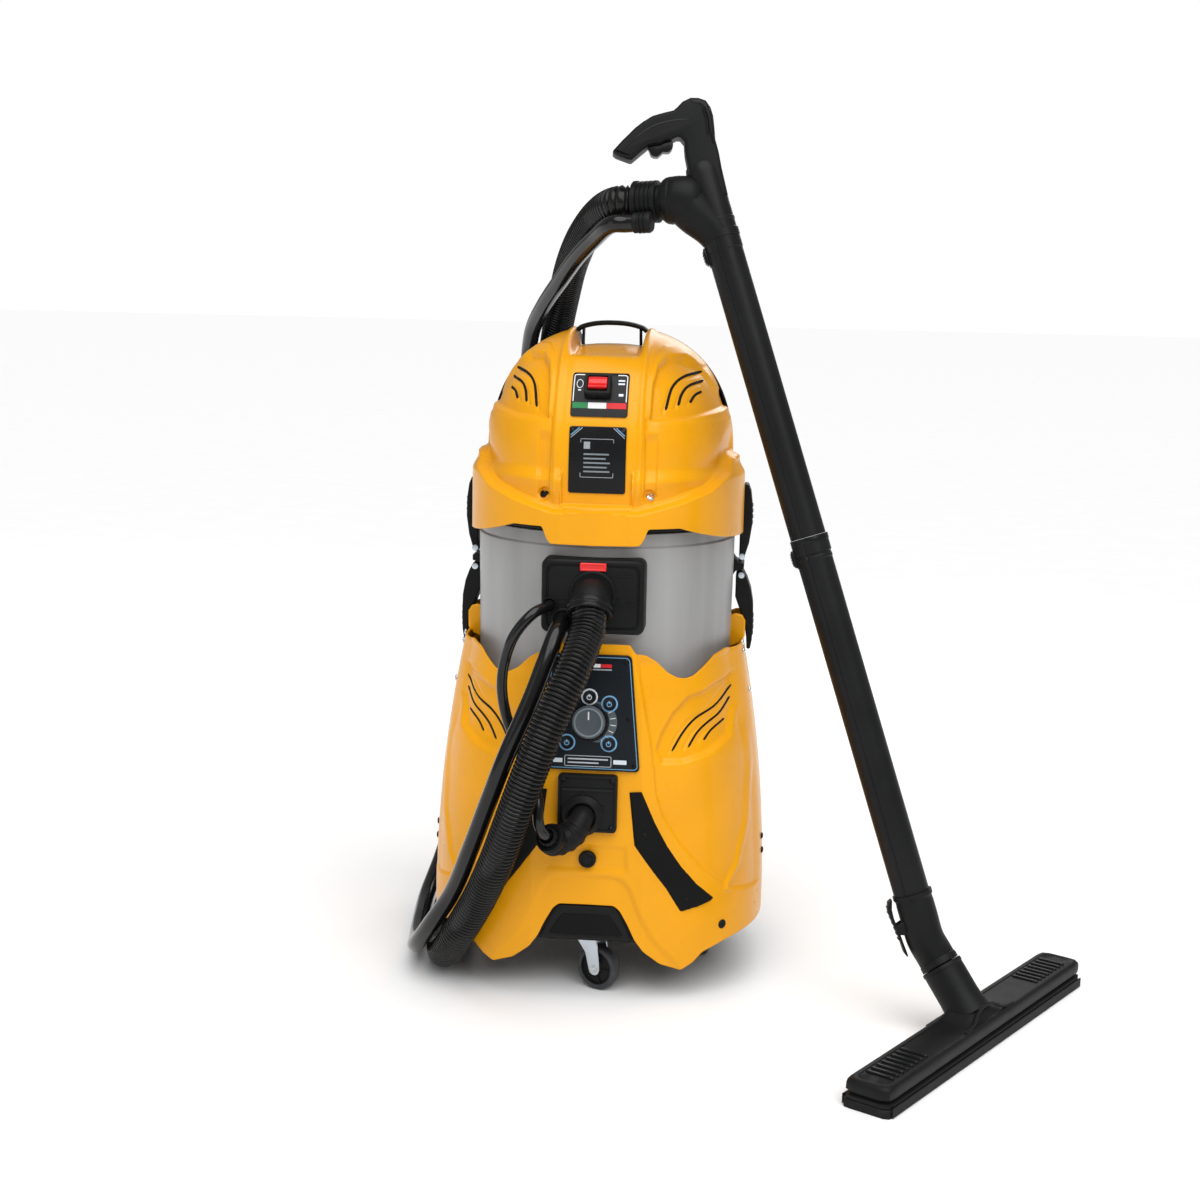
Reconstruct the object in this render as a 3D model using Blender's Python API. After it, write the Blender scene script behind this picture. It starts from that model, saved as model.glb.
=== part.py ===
"""Commercial steam and vacuum cleaner on four casters, with its hoses and floor wand.

Frame: metres, +Z up, the front faces -Y. The origin is on the floor, under the middle of
the box that the machine and its wand fill together.
"""
import math

import bmesh
import bpy
import numpy as np
from mathutils import Matrix, Vector

for old in list(bpy.data.objects):
    bpy.data.objects.remove(old, do_unlink=True)

# ---------------------------------------------------------------- driving dimensions
GAP = 0.0003
WALL = 0.004

WHEEL_RADIUS = 0.030
WHEEL_WIDTH = 0.018
WHEEL_FACETS = 24
CASTER_TRAIL = 0.0155
CASTER_TOP = 0.0805
CASTER_SPOTS = {
    "front": ((0.0, -0.150), -27.0),
    "right": ((0.150, 0.010), -100.0),
    "left": ((-0.150, 0.010), 80.0),
    "rear": ((0.0, 0.150), 60.0),
}

CHASSIS_BOTTOM = 0.081
CHASSIS_TOP = 0.131

BASE_POWER = 2.5
BASE_SEAM_FRONT = 0.997
BASE_SEAM_REAR = 0.9967
BASE_TOP_SIDE = 0.452
BASE_EDGE_SIDE = 0.075
FACE_FLAT = 0.005

TANK_BOTTOM = 0.370
TANK_TOP = 0.598

HEAD_POWER = 2.3
HEAD_PROFILE = 2.4
HEAD_CENTRE_Y = 0.030
HEAD_SHOULDER = 0.690
HEAD_TOP = 0.875
HEAD_HALF_WIDTH = 0.168
HEAD_FRONT = 0.205
HEAD_BACK = 0.145
SKIRT_BOTTOM = 0.604
CHANNEL_HALF = 0.046
CHANNEL_RIM = 0.012
CHANNEL_DEPTH = 0.004

LATCH_Y = 0.030
LATCH_WIDTH = 0.034

PLATE_THICKNESS = 0.0020
INLET_Z = 0.543
INLET_FRONT = 0.195

WAND_TOP = Vector((0.148, -0.109, 0.9915))
WAND_FOOT = Vector((0.418, -0.229, 0.179))
WAND_FACING = Vector((0.0858, -0.981, 0.1736))
TUBE_RADIUS = 0.0225
TUBE_WALL = 0.002
MID_JOINT = -0.3945
TUBE_END = -0.8645
ELBOW_END = (0.0095, -0.964)

TOOL_LEFT = Vector((0.3545, -0.4964, 0.0))
TOOL_RIGHT = Vector((0.6405, -0.0368, 0.0))
TOOL_DEPTH = 0.064
SOLE_HEIGHT = 0.010
TOOL_TOP = 0.036

VACUUM_HOSE_RADIUS = 0.0225
STEAM_HOSE_RADIUS = 0.0115
BRANCH_HOSE_RADIUS = 0.0070
CORD_POINT_SPACING = 0.046
HOSE_LEG = 0.012

# ---------------------------------------------------------------- materials
FINISHES = {
    "yellow_shell": ((0.90, 0.44, 0.012), 0.28, 0.0),
    "black_plastic": ((0.012, 0.013, 0.014), 0.42, 0.0),
    "black_gloss": ((0.010, 0.012, 0.015), 0.18, 0.0),
    "black_rubber": ((0.014, 0.014, 0.014), 0.65, 0.0),
    "tank_plastic": ((0.56, 0.55, 0.53), 0.35, 0.0),
    "red_plastic": ((0.65, 0.015, 0.012), 0.30, 0.0),
    "dial_grey": ((0.10, 0.12, 0.13), 0.35, 0.0),
    "zinc_steel": ((0.62, 0.66, 0.70), 0.30, 1.0),
    "grey_plastic": ((0.20, 0.20, 0.21), 0.50, 0.0),
    "filter_cloth": ((0.80, 0.79, 0.75), 0.90, 0.0),
    "boiler_jacket": ((0.55, 0.56, 0.58), 0.60, 0.0),
    "motor_alloy": ((0.50, 0.51, 0.52), 0.40, 0.8),
}


def material(name):
    """The Principled material of one finish, made once."""
    if name in bpy.data.materials:
        return bpy.data.materials[name]
    colour, roughness, metallic = FINISHES[name]
    made = bpy.data.materials.new(name)
    made.use_nodes = True
    shader = made.node_tree.nodes["Principled BSDF"]
    shader.inputs["Base Color"].default_value = (*colour, 1.0)
    shader.inputs["Roughness"].default_value = roughness
    shader.inputs["Metallic"].default_value = metallic
    return made


# ---------------------------------------------------------------- building blocks
assembly = bpy.data.objects.new("assembly", None)
bpy.context.collection.objects.link(assembly)


def pivot(name, place, parent=None, axes=None):
    """An empty that stands on a joint's axis; axes may turn it."""
    empty = bpy.data.objects.new(name, None)
    bpy.context.collection.objects.link(empty)
    empty.parent = parent or assembly
    empty.matrix_local = Matrix.Translation(Vector(place)) @ (axes.to_4x4() if axes else Matrix())
    return empty


def add(name, verts, faces, finish, parent=None, smooth=30.0, place=(0, 0, 0)):
    """A closed mesh object; its vertices are given around place, its own origin."""
    mesh = bpy.data.meshes.new(name)
    work = bmesh.new()
    points = [work.verts.new(v) for v in verts]
    for face in faces:
        work.faces.new([points[i] for i in face])
    bmesh.ops.remove_doubles(work, verts=work.verts, dist=1e-6)
    bmesh.ops.recalc_face_normals(work, faces=work.faces)
    work.to_mesh(mesh)
    work.free()
    mesh.materials.append(material(finish))
    mesh.shade_smooth()
    mesh.set_sharp_from_angle(angle=math.radians(smooth))
    obj = bpy.data.objects.new(name, mesh)
    bpy.context.collection.objects.link(obj)
    obj.parent = parent or assembly
    obj.location = place
    return obj


def prism(outline, low, high, plane="xy"):
    """Vertices and faces of an outline pulled along the axis that its plane leaves out."""
    count = len(outline)
    verts = []
    for level in (low, high):
        for a, b in outline:
            verts.append({"xy": (a, b, level), "xz": (a, level, b), "yz": (level, a, b)}[plane])
    faces = [tuple(reversed(range(count))), tuple(range(count, 2 * count))]
    for i in range(count):
        j = (i + 1) % count
        faces.append((i, j, count + j, count + i))
    return verts, faces


def block(size, centre=(0, 0, 0)):
    """Vertices and faces of a rectangular block."""
    x, y, z = (s / 2 for s in size)
    verts, faces = prism([(-x, -y), (x, -y), (x, y), (-x, y)], -z, z)
    return [(v[0] + centre[0], v[1] + centre[1], v[2] + centre[2]) for v in verts], faces


def turned(profile, segments, axis=(0, 0, 1), hollow=False, start=0.0):
    """Vertices and faces of a profile of (radius, height) turned about an axis.

    A solid profile starts and ends on the axis; a hollow one is a closed loop off it.
    """
    turn = Vector((0, 0, 1)).rotation_difference(Vector(axis)).to_matrix()
    verts, faces = [], []
    rings = []
    for radius, height in profile:
        if radius < 1e-7:
            rings.append([len(verts)])
            verts.append(tuple(turn @ Vector((0, 0, height))))
            continue
        ring = []
        for i in range(segments):
            a = start + 2 * math.pi * i / segments
            ring.append(len(verts))
            verts.append(tuple(turn @ Vector((radius * math.cos(a), radius * math.sin(a), height))))
        rings.append(ring)
    pairs = list(zip(rings, rings[1:]))
    if hollow:
        pairs.append((rings[-1], rings[0]))
    for low, high in pairs:
        for i in range(segments):
            j = (i + 1) % segments
            if len(low) == 1:
                faces.append((low[0], high[i], high[j]))
            elif len(high) == 1:
                faces.append((low[i], high[0], low[j]))
            else:
                faces.append((low[i], high[i], high[j], low[j]))
    return verts, faces


def shell(outer, inner, closed):
    """A thin wall between two grids of points, one column of points for each station.

    closed joins the last station to the first; otherwise the two ends get a wall each.
    """
    stations, levels = len(outer), len(outer[0])
    verts = [p for column in outer for p in column] + [p for column in inner for p in column]
    side = stations * levels

    def at(station, level, inside):
        return inside * side + (station % stations) * levels + level

    faces = []
    for i in range(stations if closed else stations - 1):
        for j in range(levels - 1):
            faces.append((at(i, j, 0), at(i + 1, j, 0), at(i + 1, j + 1, 0), at(i, j + 1, 0)))
            faces.append((at(i, j, 1), at(i, j + 1, 1), at(i + 1, j + 1, 1), at(i + 1, j, 1)))
        for j in (0, levels - 1):
            faces.append((at(i, j, 0), at(i, j, 1), at(i + 1, j, 1), at(i + 1, j, 0)))
    if not closed:
        for i in (0, stations - 1):
            for j in range(levels - 1):
                faces.append((at(i, j, 0), at(i, j + 1, 0), at(i, j + 1, 1), at(i, j, 1)))
    kept = []
    for face in faces:
        corners = []
        for index in face:
            if not any((Vector(verts[index]) - Vector(verts[c])).length < 1e-6 for c in corners):
                corners.append(index)
        if len(corners) > 2:
            kept.append(tuple(corners))
    return verts, kept


def join_shapes(name, shapes, finish, parent=None, place=(0, 0, 0)):
    """One body from several overlapping shapes, by Boolean union."""
    base = add(name, *shapes[0], finish, parent, place=place)
    for number, shape in enumerate(shapes[1:]):
        tool = add(f"{name}_shape_{number}", *shape, finish, parent, place=place)
        tool.hide_render = True
        tool.display_type = "WIRE"
        union = base.modifiers.new(f"join_{number}", "BOOLEAN")
        union.operation = "UNION"
        union.object = tool
    return base


def cut(obj, shape, label):
    """Take a shape, given in the object's own frame, out of an object."""
    tool = add(f"{obj.name}_{label}", *shape, "grey_plastic", obj.parent, place=obj.location)
    tool.hide_render = True
    tool.display_type = "WIRE"
    boolean = obj.modifiers.new(label, "BOOLEAN")
    boolean.operation = "DIFFERENCE"
    boolean.object = tool


def bevel(obj, width, segments=2):
    rounding = obj.modifiers.new("rounding", "BEVEL")
    rounding.width = width
    rounding.segments = segments
    rounding.limit_method = "ANGLE"
    rounding.angle_limit = math.radians(40)


def knots(value, table):
    """Straight-line interpolation in a short table of (place, value)."""
    return float(np.interp(value, [k[0] for k in table], [k[1] for k in table]))


def ease(value):
    value = min(1.0, max(0.0, value))
    return value * value * (3 - 2 * value)


# ---------------------------------------------------------------- casters
def caster(name, spot, heading):
    """A swivel caster: a U-shaped zinc fork with its axle, and a rubber wheel."""
    swivel = pivot(f"{name}_swivel", (*spot, CASTER_TOP))
    swivel.rotation_euler = (0, 0, math.radians(heading))
    axle_z = WHEEL_RADIUS - CASTER_TOP
    cheek = 0.0022
    inside = WHEEL_WIDTH / 2 + 0.0016
    plate = turned([(0, 0), (0.019, 0), (0.019, -0.0025), (0.014, -0.010), (0, -0.010)], 20)
    bridge = block((0.030, 2 * (inside + cheek), 0.005), (0.002, 0, -0.0105))
    outline = [(-0.012, -0.009), (0.017, -0.009), (0.0235, axle_z), (0.0205, axle_z - 0.0065)]
    outline += [(CASTER_TRAIL, axle_z - 0.0085), (0.0095, axle_z - 0.006)]
    cheeks = [prism(outline, s * inside, s * (inside + cheek), "xz") for s in (-1, 1)]
    pin_half = inside + cheek + 0.003
    pin = turned([(0, -pin_half), (0.0045, -pin_half), (0.0045, pin_half), (0, pin_half)], 12, (0, 1, 0))
    pin = [(x + CASTER_TRAIL, y, z + axle_z) for x, y, z in pin[0]], pin[1]
    join_shapes(f"caster_{name}_fork", [plate, bridge, *cheeks, pin], "zinc_steel", swivel)
    half = WHEEL_WIDTH / 2
    bore = 0.0045 + GAP
    facet = math.pi / WHEEL_FACETS
    tread = WHEEL_RADIUS / math.cos(facet)
    tyre = [(bore, -half), (0.012, -half), (0.020, -half + 0.002), (0.027, -half)]
    tyre += [(tread, -half + 0.003), (tread, half - 0.003)]
    tyre += [(0.027, half), (0.020, half - 0.002), (0.012, half), (bore, half)]
    wheel = turned(tyre, WHEEL_FACETS, (0, 1, 0), hollow=True, start=facet)
    add(f"caster_{name}_wheel", *wheel, "black_rubber", swivel, place=(CASTER_TRAIL, 0, axle_z))


for caster_name, (caster_spot, caster_heading) in CASTER_SPOTS.items():
    caster(caster_name, caster_spot, caster_heading)


# ---------------------------------------------------------------- base shell
def base_half_width(z):
    return 0.228 - 0.285 * (z - 0.09) ** 2


def base_front(z):
    return 0.212 - 0.25 * (z - 0.2) ** 2


def base_back(z):
    return 0.205 - 0.20 * (z - 0.2) ** 2


def base_face(z):
    """How far the flat middle of the front stands from the machine's axis."""
    return base_front(z) - FACE_FLAT


def base_point(across, front, z, inset=0.0):
    """A point of the base's surface; across runs from -1 to 1 over its width."""
    rise = max(0.0, 1 - abs(across) ** BASE_POWER) ** (1 / BASE_POWER)
    x = across * (base_half_width(z) - inset)
    if front:
        return (x, -min(base_face(z) - inset, rise * (base_front(z) - inset)), z)
    return (x, rise * (base_back(z) - inset), z)


BASE_TOP_EDGE = [(0.05, 0.4765), (0.057, 0.4640), (0.070, 0.4625), (0.100, 0.437), (0.122, 0.4305)]
BASE_TOP_EDGE += [(0.145, 0.4365), (0.170, 0.447), (0.190, BASE_TOP_SIDE)]
BASE_LOW_EDGE = [(0.040, 0.1310), (0.050, 0.120), (0.062, 0.096), (0.0745, 0.076), (0.092, 0.058)]
BASE_LOW_EDGE += [(0.115, 0.0465), (0.1247, 0.0425), (0.1377, 0.050), (0.150, 0.061), (0.165, 0.068)]
BASE_LOW_EDGE += [(0.200, 0.073), (0.228, BASE_EDGE_SIDE)]
HALF_STATIONS = [0, 0.175, 0.22, 0.265, 0.30, 0.33, 0.37, 0.405, 0.46, 0.507, 0.549, 0.607, 0.66]
HALF_STATIONS += [0.727, 0.80, 0.875, 0.93, 0.972, 0.993, 1.0]
FRONT_STATIONS = [(-c, True) for c in reversed(HALF_STATIONS[1:])] + [(c, True) for c in HALF_STATIONS]


def base_column(across, front, levels, inset):
    """The wall's points from its lower edge to its upper edge at one station."""
    low = knots(abs(across) * 0.228, BASE_LOW_EDGE) if front else BASE_EDGE_SIDE
    high = knots(abs(across) * 0.190, BASE_TOP_EDGE) if front else BASE_TOP_SIDE
    return [base_point(across, front, low + (high - low) * t, inset) for t in levels]


LEVELS = [0, 0.12, 0.3, 0.5, 0.7, 0.85, 1.0]
front_cover = [(-BASE_SEAM_FRONT, False), *FRONT_STATIONS, (BASE_SEAM_FRONT, False)]
lower_cover = add(
    "lower_cover",
    *shell(
        [base_column(c, f, LEVELS, 0) for c, f in front_cover],
        [base_column(c, f, LEVELS, WALL) for c, f in front_cover],
        closed=False,
    ),
    "yellow_shell",
)
REAR_STATIONS = [BASE_SEAM_REAR, 0.985, 0.95, 0.88, 0.78, 0.65, 0.5, 0.35, 0.2, 0]
rear_row = [(c, False) for c in REAR_STATIONS] + [(-c, False) for c in reversed(REAR_STATIONS[:-1])]
add(
    "rear_cover",
    *shell(
        [base_column(c, f, LEVELS, 0) for c, f in rear_row],
        [base_column(c, f, LEVELS, WALL) for c, f in rear_row],
        closed=False,
    ),
    "yellow_shell",
)


def chassis_tray():
    """The black tray that carries everything; its front wall is the bumper."""
    inset = WALL + 0.0015
    around = FRONT_STATIONS[::2] + [(c, False) for c in (0.95, 0.8, 0.5, 0, -0.5, -0.8, -0.95)]
    levels = (CHASSIS_BOTTOM, CHASSIS_TOP)
    outer = [[base_point(c, f, z, inset) for z in levels] for c, f in around]
    inner = [[base_point(c, f, z, inset + 0.005) for z in (levels[0] + 0.005, levels[1])] for c, f in around]
    count = len(around)
    rows = [[column[0] for column in outer], [column[1] for column in outer]]
    rows += [[column[1] for column in inner], [column[0] for column in inner]]
    verts = [p for row in rows for p in row]
    faces = [tuple(range(count)), tuple(range(3 * count, 4 * count))]
    for row in range(3):
        for i in range(count):
            j = (i + 1) % count
            faces.append((row * count + i, row * count + j, (row + 1) * count + j, (row + 1) * count + i))
    return verts, faces


add("chassis", *chassis_tray(), "black_plastic")


# ---------------------------------------------------------------- plates on curved faces
def face_plate(name, half_low, half_high, z_low, z_high, surface, thickness, finish, steps=4, centre=0.0,
               parent=None):
    """A plate, flat across and following a face upwards, its width changing evenly."""
    outline = []
    for i in range(steps + 1):
        z = z_low + (z_high - z_low) * i / steps
        half = half_low + (half_high - half_low) * i / steps
        outline.append((half, z, surface(z)))
    outer = [[(s * h + centre, -(y + GAP + thickness), z) for h, z, y in outline] for s in (-1, 1)]
    inner = [[(s * h + centre, -(y + GAP), z) for h, z, y in outline] for s in (-1, 1)]
    return add(name, *shell(outer, inner, closed=False), finish, parent)


PANEL_THICKNESS = 0.004
face_plate("control_panel", 0.0665, 0.0520, 0.314, 0.4635, base_face, PANEL_THICKNESS, "black_gloss")

DIAL_Z = 0.3775
DIAL_X = -0.001
PANEL_BUTTONS = {"1": (-0.001, 0.4095), "2": (0.0250, 0.4015), "3": (-0.0285, 0.3500), "4": (0.0255, 0.3500)}
BUTTON_RADIUS = 0.0080
BUTTON_TRAVEL = 0.0012


def panel_front(z):
    return base_face(z) + GAP + PANEL_THICKNESS


def face_out(z):
    """The direction that the front of the base faces at a height."""
    return Vector((0, -1, 0.5 * (z - 0.2))).normalized()


def small_disc(radius, depth, chamfer, z, segments=24):
    """A round cap on the base's front, its back at its own origin."""
    return turned([(0, 0), (radius, 0), (radius, depth - chamfer), (radius - chamfer, depth), (0, depth)],
                  segments, face_out(z))


for label, (x, z) in PANEL_BUTTONS.items():
    spot = (x, -(panel_front(z) + 0.001 + BUTTON_TRAVEL), z)
    add(f"panel_button_{label}", *small_disc(BUTTON_RADIUS, 0.002, 0.0006, z), "black_gloss", place=spot)
add("control_dial", *small_disc(0.0218, 0.007, 0.0015, DIAL_Z, 32), "dial_grey",
    place=(DIAL_X, -(panel_front(DIAL_Z) + 0.0012), DIAL_Z))


# ---------------------------------------------------------------- steam outlet
OUTLET_Z = (0.234, 0.3095)
OUTLET_HALF = 0.0385
OUTLET_CENTRE = 0.256
OUTLET_DEPTH = 0.012
OUTLET_BORE = 0.0185
outlet = face_plate("steam_outlet_flange", OUTLET_HALF, OUTLET_HALF, *OUTLET_Z, base_face, OUTLET_DEPTH,
                    "black_plastic")
OUTLET_X = -0.006
OUTLET_Y = -(base_face(OUTLET_CENTRE) + GAP + OUTLET_DEPTH)
bore = turned([(0, 0), (OUTLET_BORE, 0), (OUTLET_BORE, 0.05), (0, 0.05)], 24, (0, 1, 0))
bore = [(x + OUTLET_X, y + OUTLET_Y - 0.005, z + OUTLET_CENTRE) for x, y, z in bore[0]], bore[1]
cut(outlet, bore, "bore")
cut(lower_cover, bore, "steam_bore")


def swept(path, radii, segments):
    """A closed body with a round section along a path, its radius given at each point."""
    path = [Vector(p) for p in path]
    verts, rings = [], []
    normal = None
    for i, point in enumerate(path):
        ahead = (path[min(i + 1, len(path) - 1)] - path[max(i - 1, 0)]).normalized()
        if normal is None:
            normal = ahead.orthogonal().normalized()
        normal = (normal - ahead * normal.dot(ahead)).normalized()
        other = ahead.cross(normal)
        ring = []
        for j in range(segments):
            a = 2 * math.pi * j / segments
            ring.append(len(verts))
            verts.append(tuple(point + (normal * math.cos(a) + other * math.sin(a)) * radii[i]))
        rings.append(ring)
    faces = [tuple(reversed(rings[0])), tuple(rings[-1])]
    for low, high in zip(rings, rings[1:]):
        for j in range(segments):
            k = (j + 1) % segments
            faces.append((low[j], low[k], high[k], high[j]))
    return verts, faces


def arc_path(points, count, leg=0.0):
    """A smooth Catmull-Rom curve through points, read at even steps of length.

    leg makes both ends straight for that far, so that they leave squarely.
    """
    points = [Vector(p) for p in points]
    padded = [points[0] * 2 - points[1], *points, points[-1] * 2 - points[-2]]
    fine = []
    for i in range(1, len(padded) - 2):
        a, b, c, d = padded[i - 1:i + 3]
        for step in range(24):
            t = step / 24
            fine.append(0.5 * ((2 * b) + (c - a) * t + (2 * a - 5 * b + 4 * c - d) * t * t
                               + (3 * b - a - 3 * c + d) * t ** 3))
    fine.append(points[-1])
    lengths = np.concatenate([[0], np.cumsum([(q - p).length for p, q in zip(fine, fine[1:])])])
    wanted = np.linspace(2 * leg, lengths[-1] - 2 * leg, count)
    table = np.array([tuple(p) for p in fine])
    middle = [Vector([float(np.interp(w, lengths, table[:, k])) for k in range(3)]) for w in wanted]
    if not leg:
        return middle
    start = (points[1] - points[0]).normalized() * leg
    end = (points[-2] - points[-1]).normalized() * leg
    return [points[0], points[0] + start, *middle, points[-1] + end, points[-1]]


# The steam connector: an elbow from the outlet's bore, down and to the left, its mouth to the front.
CONNECTOR_MOUTH = Vector((-0.042, -0.262, 0.238))
mouth_out = Vector((-0.35, -0.80, 0.49)).normalized()
connector_route = [
    (OUTLET_X, OUTLET_Y + 0.010, OUTLET_CENTRE),
    (OUTLET_X, OUTLET_Y - 0.010, OUTLET_CENTRE - 0.001),
    (-0.018, -0.240, 0.237),
    tuple(CONNECTOR_MOUTH - mouth_out * 0.018),
    tuple(CONNECTOR_MOUTH),
]
connector_path = arc_path(connector_route, 8)
connector = add("steam_connector", *swept(connector_path, [0.0150] * 3 + [0.0185] * 5, 20), "black_plastic")
mouth = turned([(0, -0.014), (0.0130, -0.014), (0.0130, 0.004), (0, 0.004)], 20, mouth_out)
mouth = [tuple(Vector(v) + connector_path[-1]) for v in mouth[0]], mouth[1]
cut(connector, mouth, "mouth")

DRAIN_Z = 0.1955
add("boiler_drain_cap", *small_disc(0.0115, 0.006, 0.0015, DRAIN_Z, 20), "black_plastic",
    place=(0.001, -(base_face(DRAIN_Z) + 2 * GAP), DRAIN_Z))


# ---------------------------------------------------------------- recovery tank
def tank_radius(z):
    return 0.172 + 0.012 * (z - 0.4)


def tank_body():
    """An open cup of translucent plastic, turned, with a small rim."""
    low, high = TANK_BOTTOM, TANK_TOP
    profile = [(0, low), (tank_radius(low) - 0.012, low), (tank_radius(low), low + 0.012)]
    profile += [(tank_radius(high), high), (tank_radius(high) - WALL, high)]
    profile += [(tank_radius(low) - WALL, low + 0.014), (tank_radius(low) - 0.014, low + WALL)]
    profile += [(0, low + WALL)]
    return turned(profile, 64)


tank = add("recovery_tank", *tank_body(), "tank_plastic")
inlet_bore = turned([(0, 0), (0.0200, 0), (0.0200, 0.06), (0, 0.06)], 24, (0, 1, 0))
inlet_bore = [(x, y - 0.21, z + INLET_Z) for x, y, z in inlet_bore[0]], inlet_bore[1]
cut(tank, inlet_bore, "inlet_bore")


def inlet_plate():
    """The black plate on the tank: flat in front, hollowed behind to the tank's curve."""
    half, corner = 0.0665, 0.012
    radius = tank_radius(0.587) + GAP
    outline = [(-half, -INLET_FRONT + corner), (-half + corner, -INLET_FRONT)]
    outline += [(half - corner, -INLET_FRONT), (half, -INLET_FRONT + corner)]
    for i in range(13):
        x = half - 2 * half * i / 12
        outline.append((x, -math.sqrt(radius * radius - x * x) - GAP))
    return prism(outline, 0.4905, 0.5870)


plate = add("inlet_plate", *inlet_plate(), "black_plastic")
cut(plate, inlet_bore, "bore")
BUTTON_Z = 0.5775
button_slot = block((0.0336 + 2 * GAP, 0.012, 0.0105 + 2 * GAP), (0.0, -INLET_FRONT - 0.001, BUTTON_Z))
cut(plate, button_slot, "button_slot")
add("release_button", *block((0.0336, 0.006, 0.0105)), "red_plastic",
    place=(0.0, -INLET_FRONT - 0.0004, BUTTON_Z))


# ---------------------------------------------------------------- head
def head_scale(z):
    """The dome's width at a height, as a share of its width at the shoulder."""
    if z <= HEAD_SHOULDER:
        return 1.0
    rise = min(1.0, (z - HEAD_SHOULDER) / (HEAD_TOP - HEAD_SHOULDER))
    return max(0.0, 1 - rise ** HEAD_PROFILE) ** (1 / HEAD_PROFILE)


HEAD_LEDGE = [(0.05, 0.655), (0.067, 0.661), (0.100, 0.672), (0.140, 0.690), (0.165, 0.703)]
SKIRT_EDGE = [(0.0585, SKIRT_BOTTOM), (0.0650, 0.626), (0.105, 0.6255), (0.128, 0.616), (0.150, 0.608)]
SKIRT_EDGE += [(0.175, 0.602)]
WING_OUT = 0.0185
SKIRT_OUT = 0.008


def head_point(across, front, z, inset=0.0):
    """A point of the head's surface; across runs from -1 to 1 over its width."""
    share = head_scale(z)
    rise = max(0.0, 1 - abs(across) ** HEAD_POWER) ** (1 / HEAD_POWER)
    ledge = knots(abs(across) * 0.175, HEAD_LEDGE)
    out = SKIRT_OUT * ease((HEAD_SHOULDER + 0.012 - z) / 0.02)
    if front:
        depth_now = HEAD_CENTRE_Y - rise * HEAD_FRONT
        wing = WING_OUT * ease((0.012 - depth_now) / 0.010)
        out += (wing - SKIRT_OUT * ease((0.012 - depth_now) / 0.010)) * ease((ledge + 0.004 - z) / 0.012)
    half = HEAD_HALF_WIDTH * share + (out - inset) * min(1.0, share * 4)
    depth = (HEAD_FRONT if front else HEAD_BACK) * share + (out - inset) * min(1.0, share * 4)
    x = across * half
    y = HEAD_CENTRE_Y + (-1 if front else 1) * rise * depth
    if front:
        y = max(y, channel_limit(x, z, inset))
    top_drop = channel_drop(x, z)
    return (x, y, z - inset * (1 - min(1.0, share * 1.2)) - top_drop)


def channel_face(z):
    """How far the sunken band down the front stands from the machine's axis."""
    out = (WING_OUT - 0.004) * ease((0.655 + 0.004 - z) / 0.012)
    return HEAD_FRONT * head_scale(z) - HEAD_CENTRE_Y - CHANNEL_DEPTH + out


def channel_limit(x, z, inset):
    side = ease((abs(x) - CHANNEL_HALF) / CHANNEL_RIM)
    return -(channel_face(z) + (CHANNEL_DEPTH + 0.02) * side - inset)


def channel_drop(x, z):
    """The sunken band also runs over the top, under the carrying handle."""
    depth = 0.024 * ease((z - 0.835) / 0.035)
    return depth * (1 - ease((abs(x) - CHANNEL_HALF + 0.006) / CHANNEL_RIM))


HEAD_LEVELS = [0.640, 0.655, 0.667, 0.680, 0.695, 0.705, 0.725, 0.750, 0.775, 0.800, 0.825, 0.845, 0.860]
HEAD_LEVELS += [0.869, 0.8708, 0.8718, 0.8727, 0.8745]
HEAD_HALF = [0, 0.14, 0.25, 0.29, 0.33, 0.37, 0.42, 0.50, 0.60, 0.70, 0.80, 0.88, 0.94, 0.975]
HEAD_HALF += [0.992, 0.9986, 1.0]


def head_column(across, front, inset):
    if front:
        low = knots(abs(across) * 0.176, SKIRT_EDGE)
    else:
        low = SKIRT_BOTTOM
    points = [head_point(across, front, low, inset)]
    points += [head_point(across, front, (low + 0.640) / 2, inset)]
    points += [head_point(across, front, z, inset) for z in HEAD_LEVELS]
    crown = HEAD_TOP - 0.024 - inset
    return points + [(0.0, HEAD_CENTRE_Y + (-GAP if front else GAP), crown)]


def head_shell(name, row, finish):
    outer = [head_column(c, f, 0.0) for c, f in row]
    inner = [head_column(c, f, WALL) for c, f in row]
    return add(name, *shell(outer, inner, closed=False), finish, head_pivot)


head_pivot = pivot("head_lift", (0, 0, 0))
head_front_row = [(-c, True) for c in reversed(HEAD_HALF[1:])] + [(c, True) for c in HEAD_HALF]
head_shell("head_cover", head_front_row, "yellow_shell")
REAR_HALF = [0.99997, 0.985, 0.94, 0.85, 0.72, 0.55, 0.40, 0.33, 0.25, 0]
head_rear_row = [(c, False) for c in REAR_HALF] + [(-c, False) for c in reversed(REAR_HALF[:-1])]
head_shell("head_rear_cover", head_rear_row, "black_plastic")

head_base_profile = [(0, 0.5985), (0.150, 0.5985), (0.158, 0.602), (0.1665, 0.604), (0.1665, 0.618)]
head_base_profile += [(0.160, 0.624), (0, 0.624)]
add("head_base", *turned(head_base_profile, 48), "black_plastic", head_pivot)
motor_profile = [(0, 0.640), (0.068, 0.640), (0.068, 0.690), (0.050, 0.700), (0.050, 0.752), (0, 0.752)]
add("vacuum_motor", *turned(motor_profile, 28), "motor_alloy", head_pivot)
add("motor_impeller", *turned([(0, 0), (0.060, 0), (0.060, 0.004), (0.020, 0.010), (0, 0.010)], 28),
    "motor_alloy", head_pivot, place=(0, 0, 0.6265))
add("cartridge_filter", *turned([(0, 0.5982), (0.058, 0.5982), (0.058, 0.500), (0, 0.500)], 28),
    "filter_cloth", head_pivot)

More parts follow.
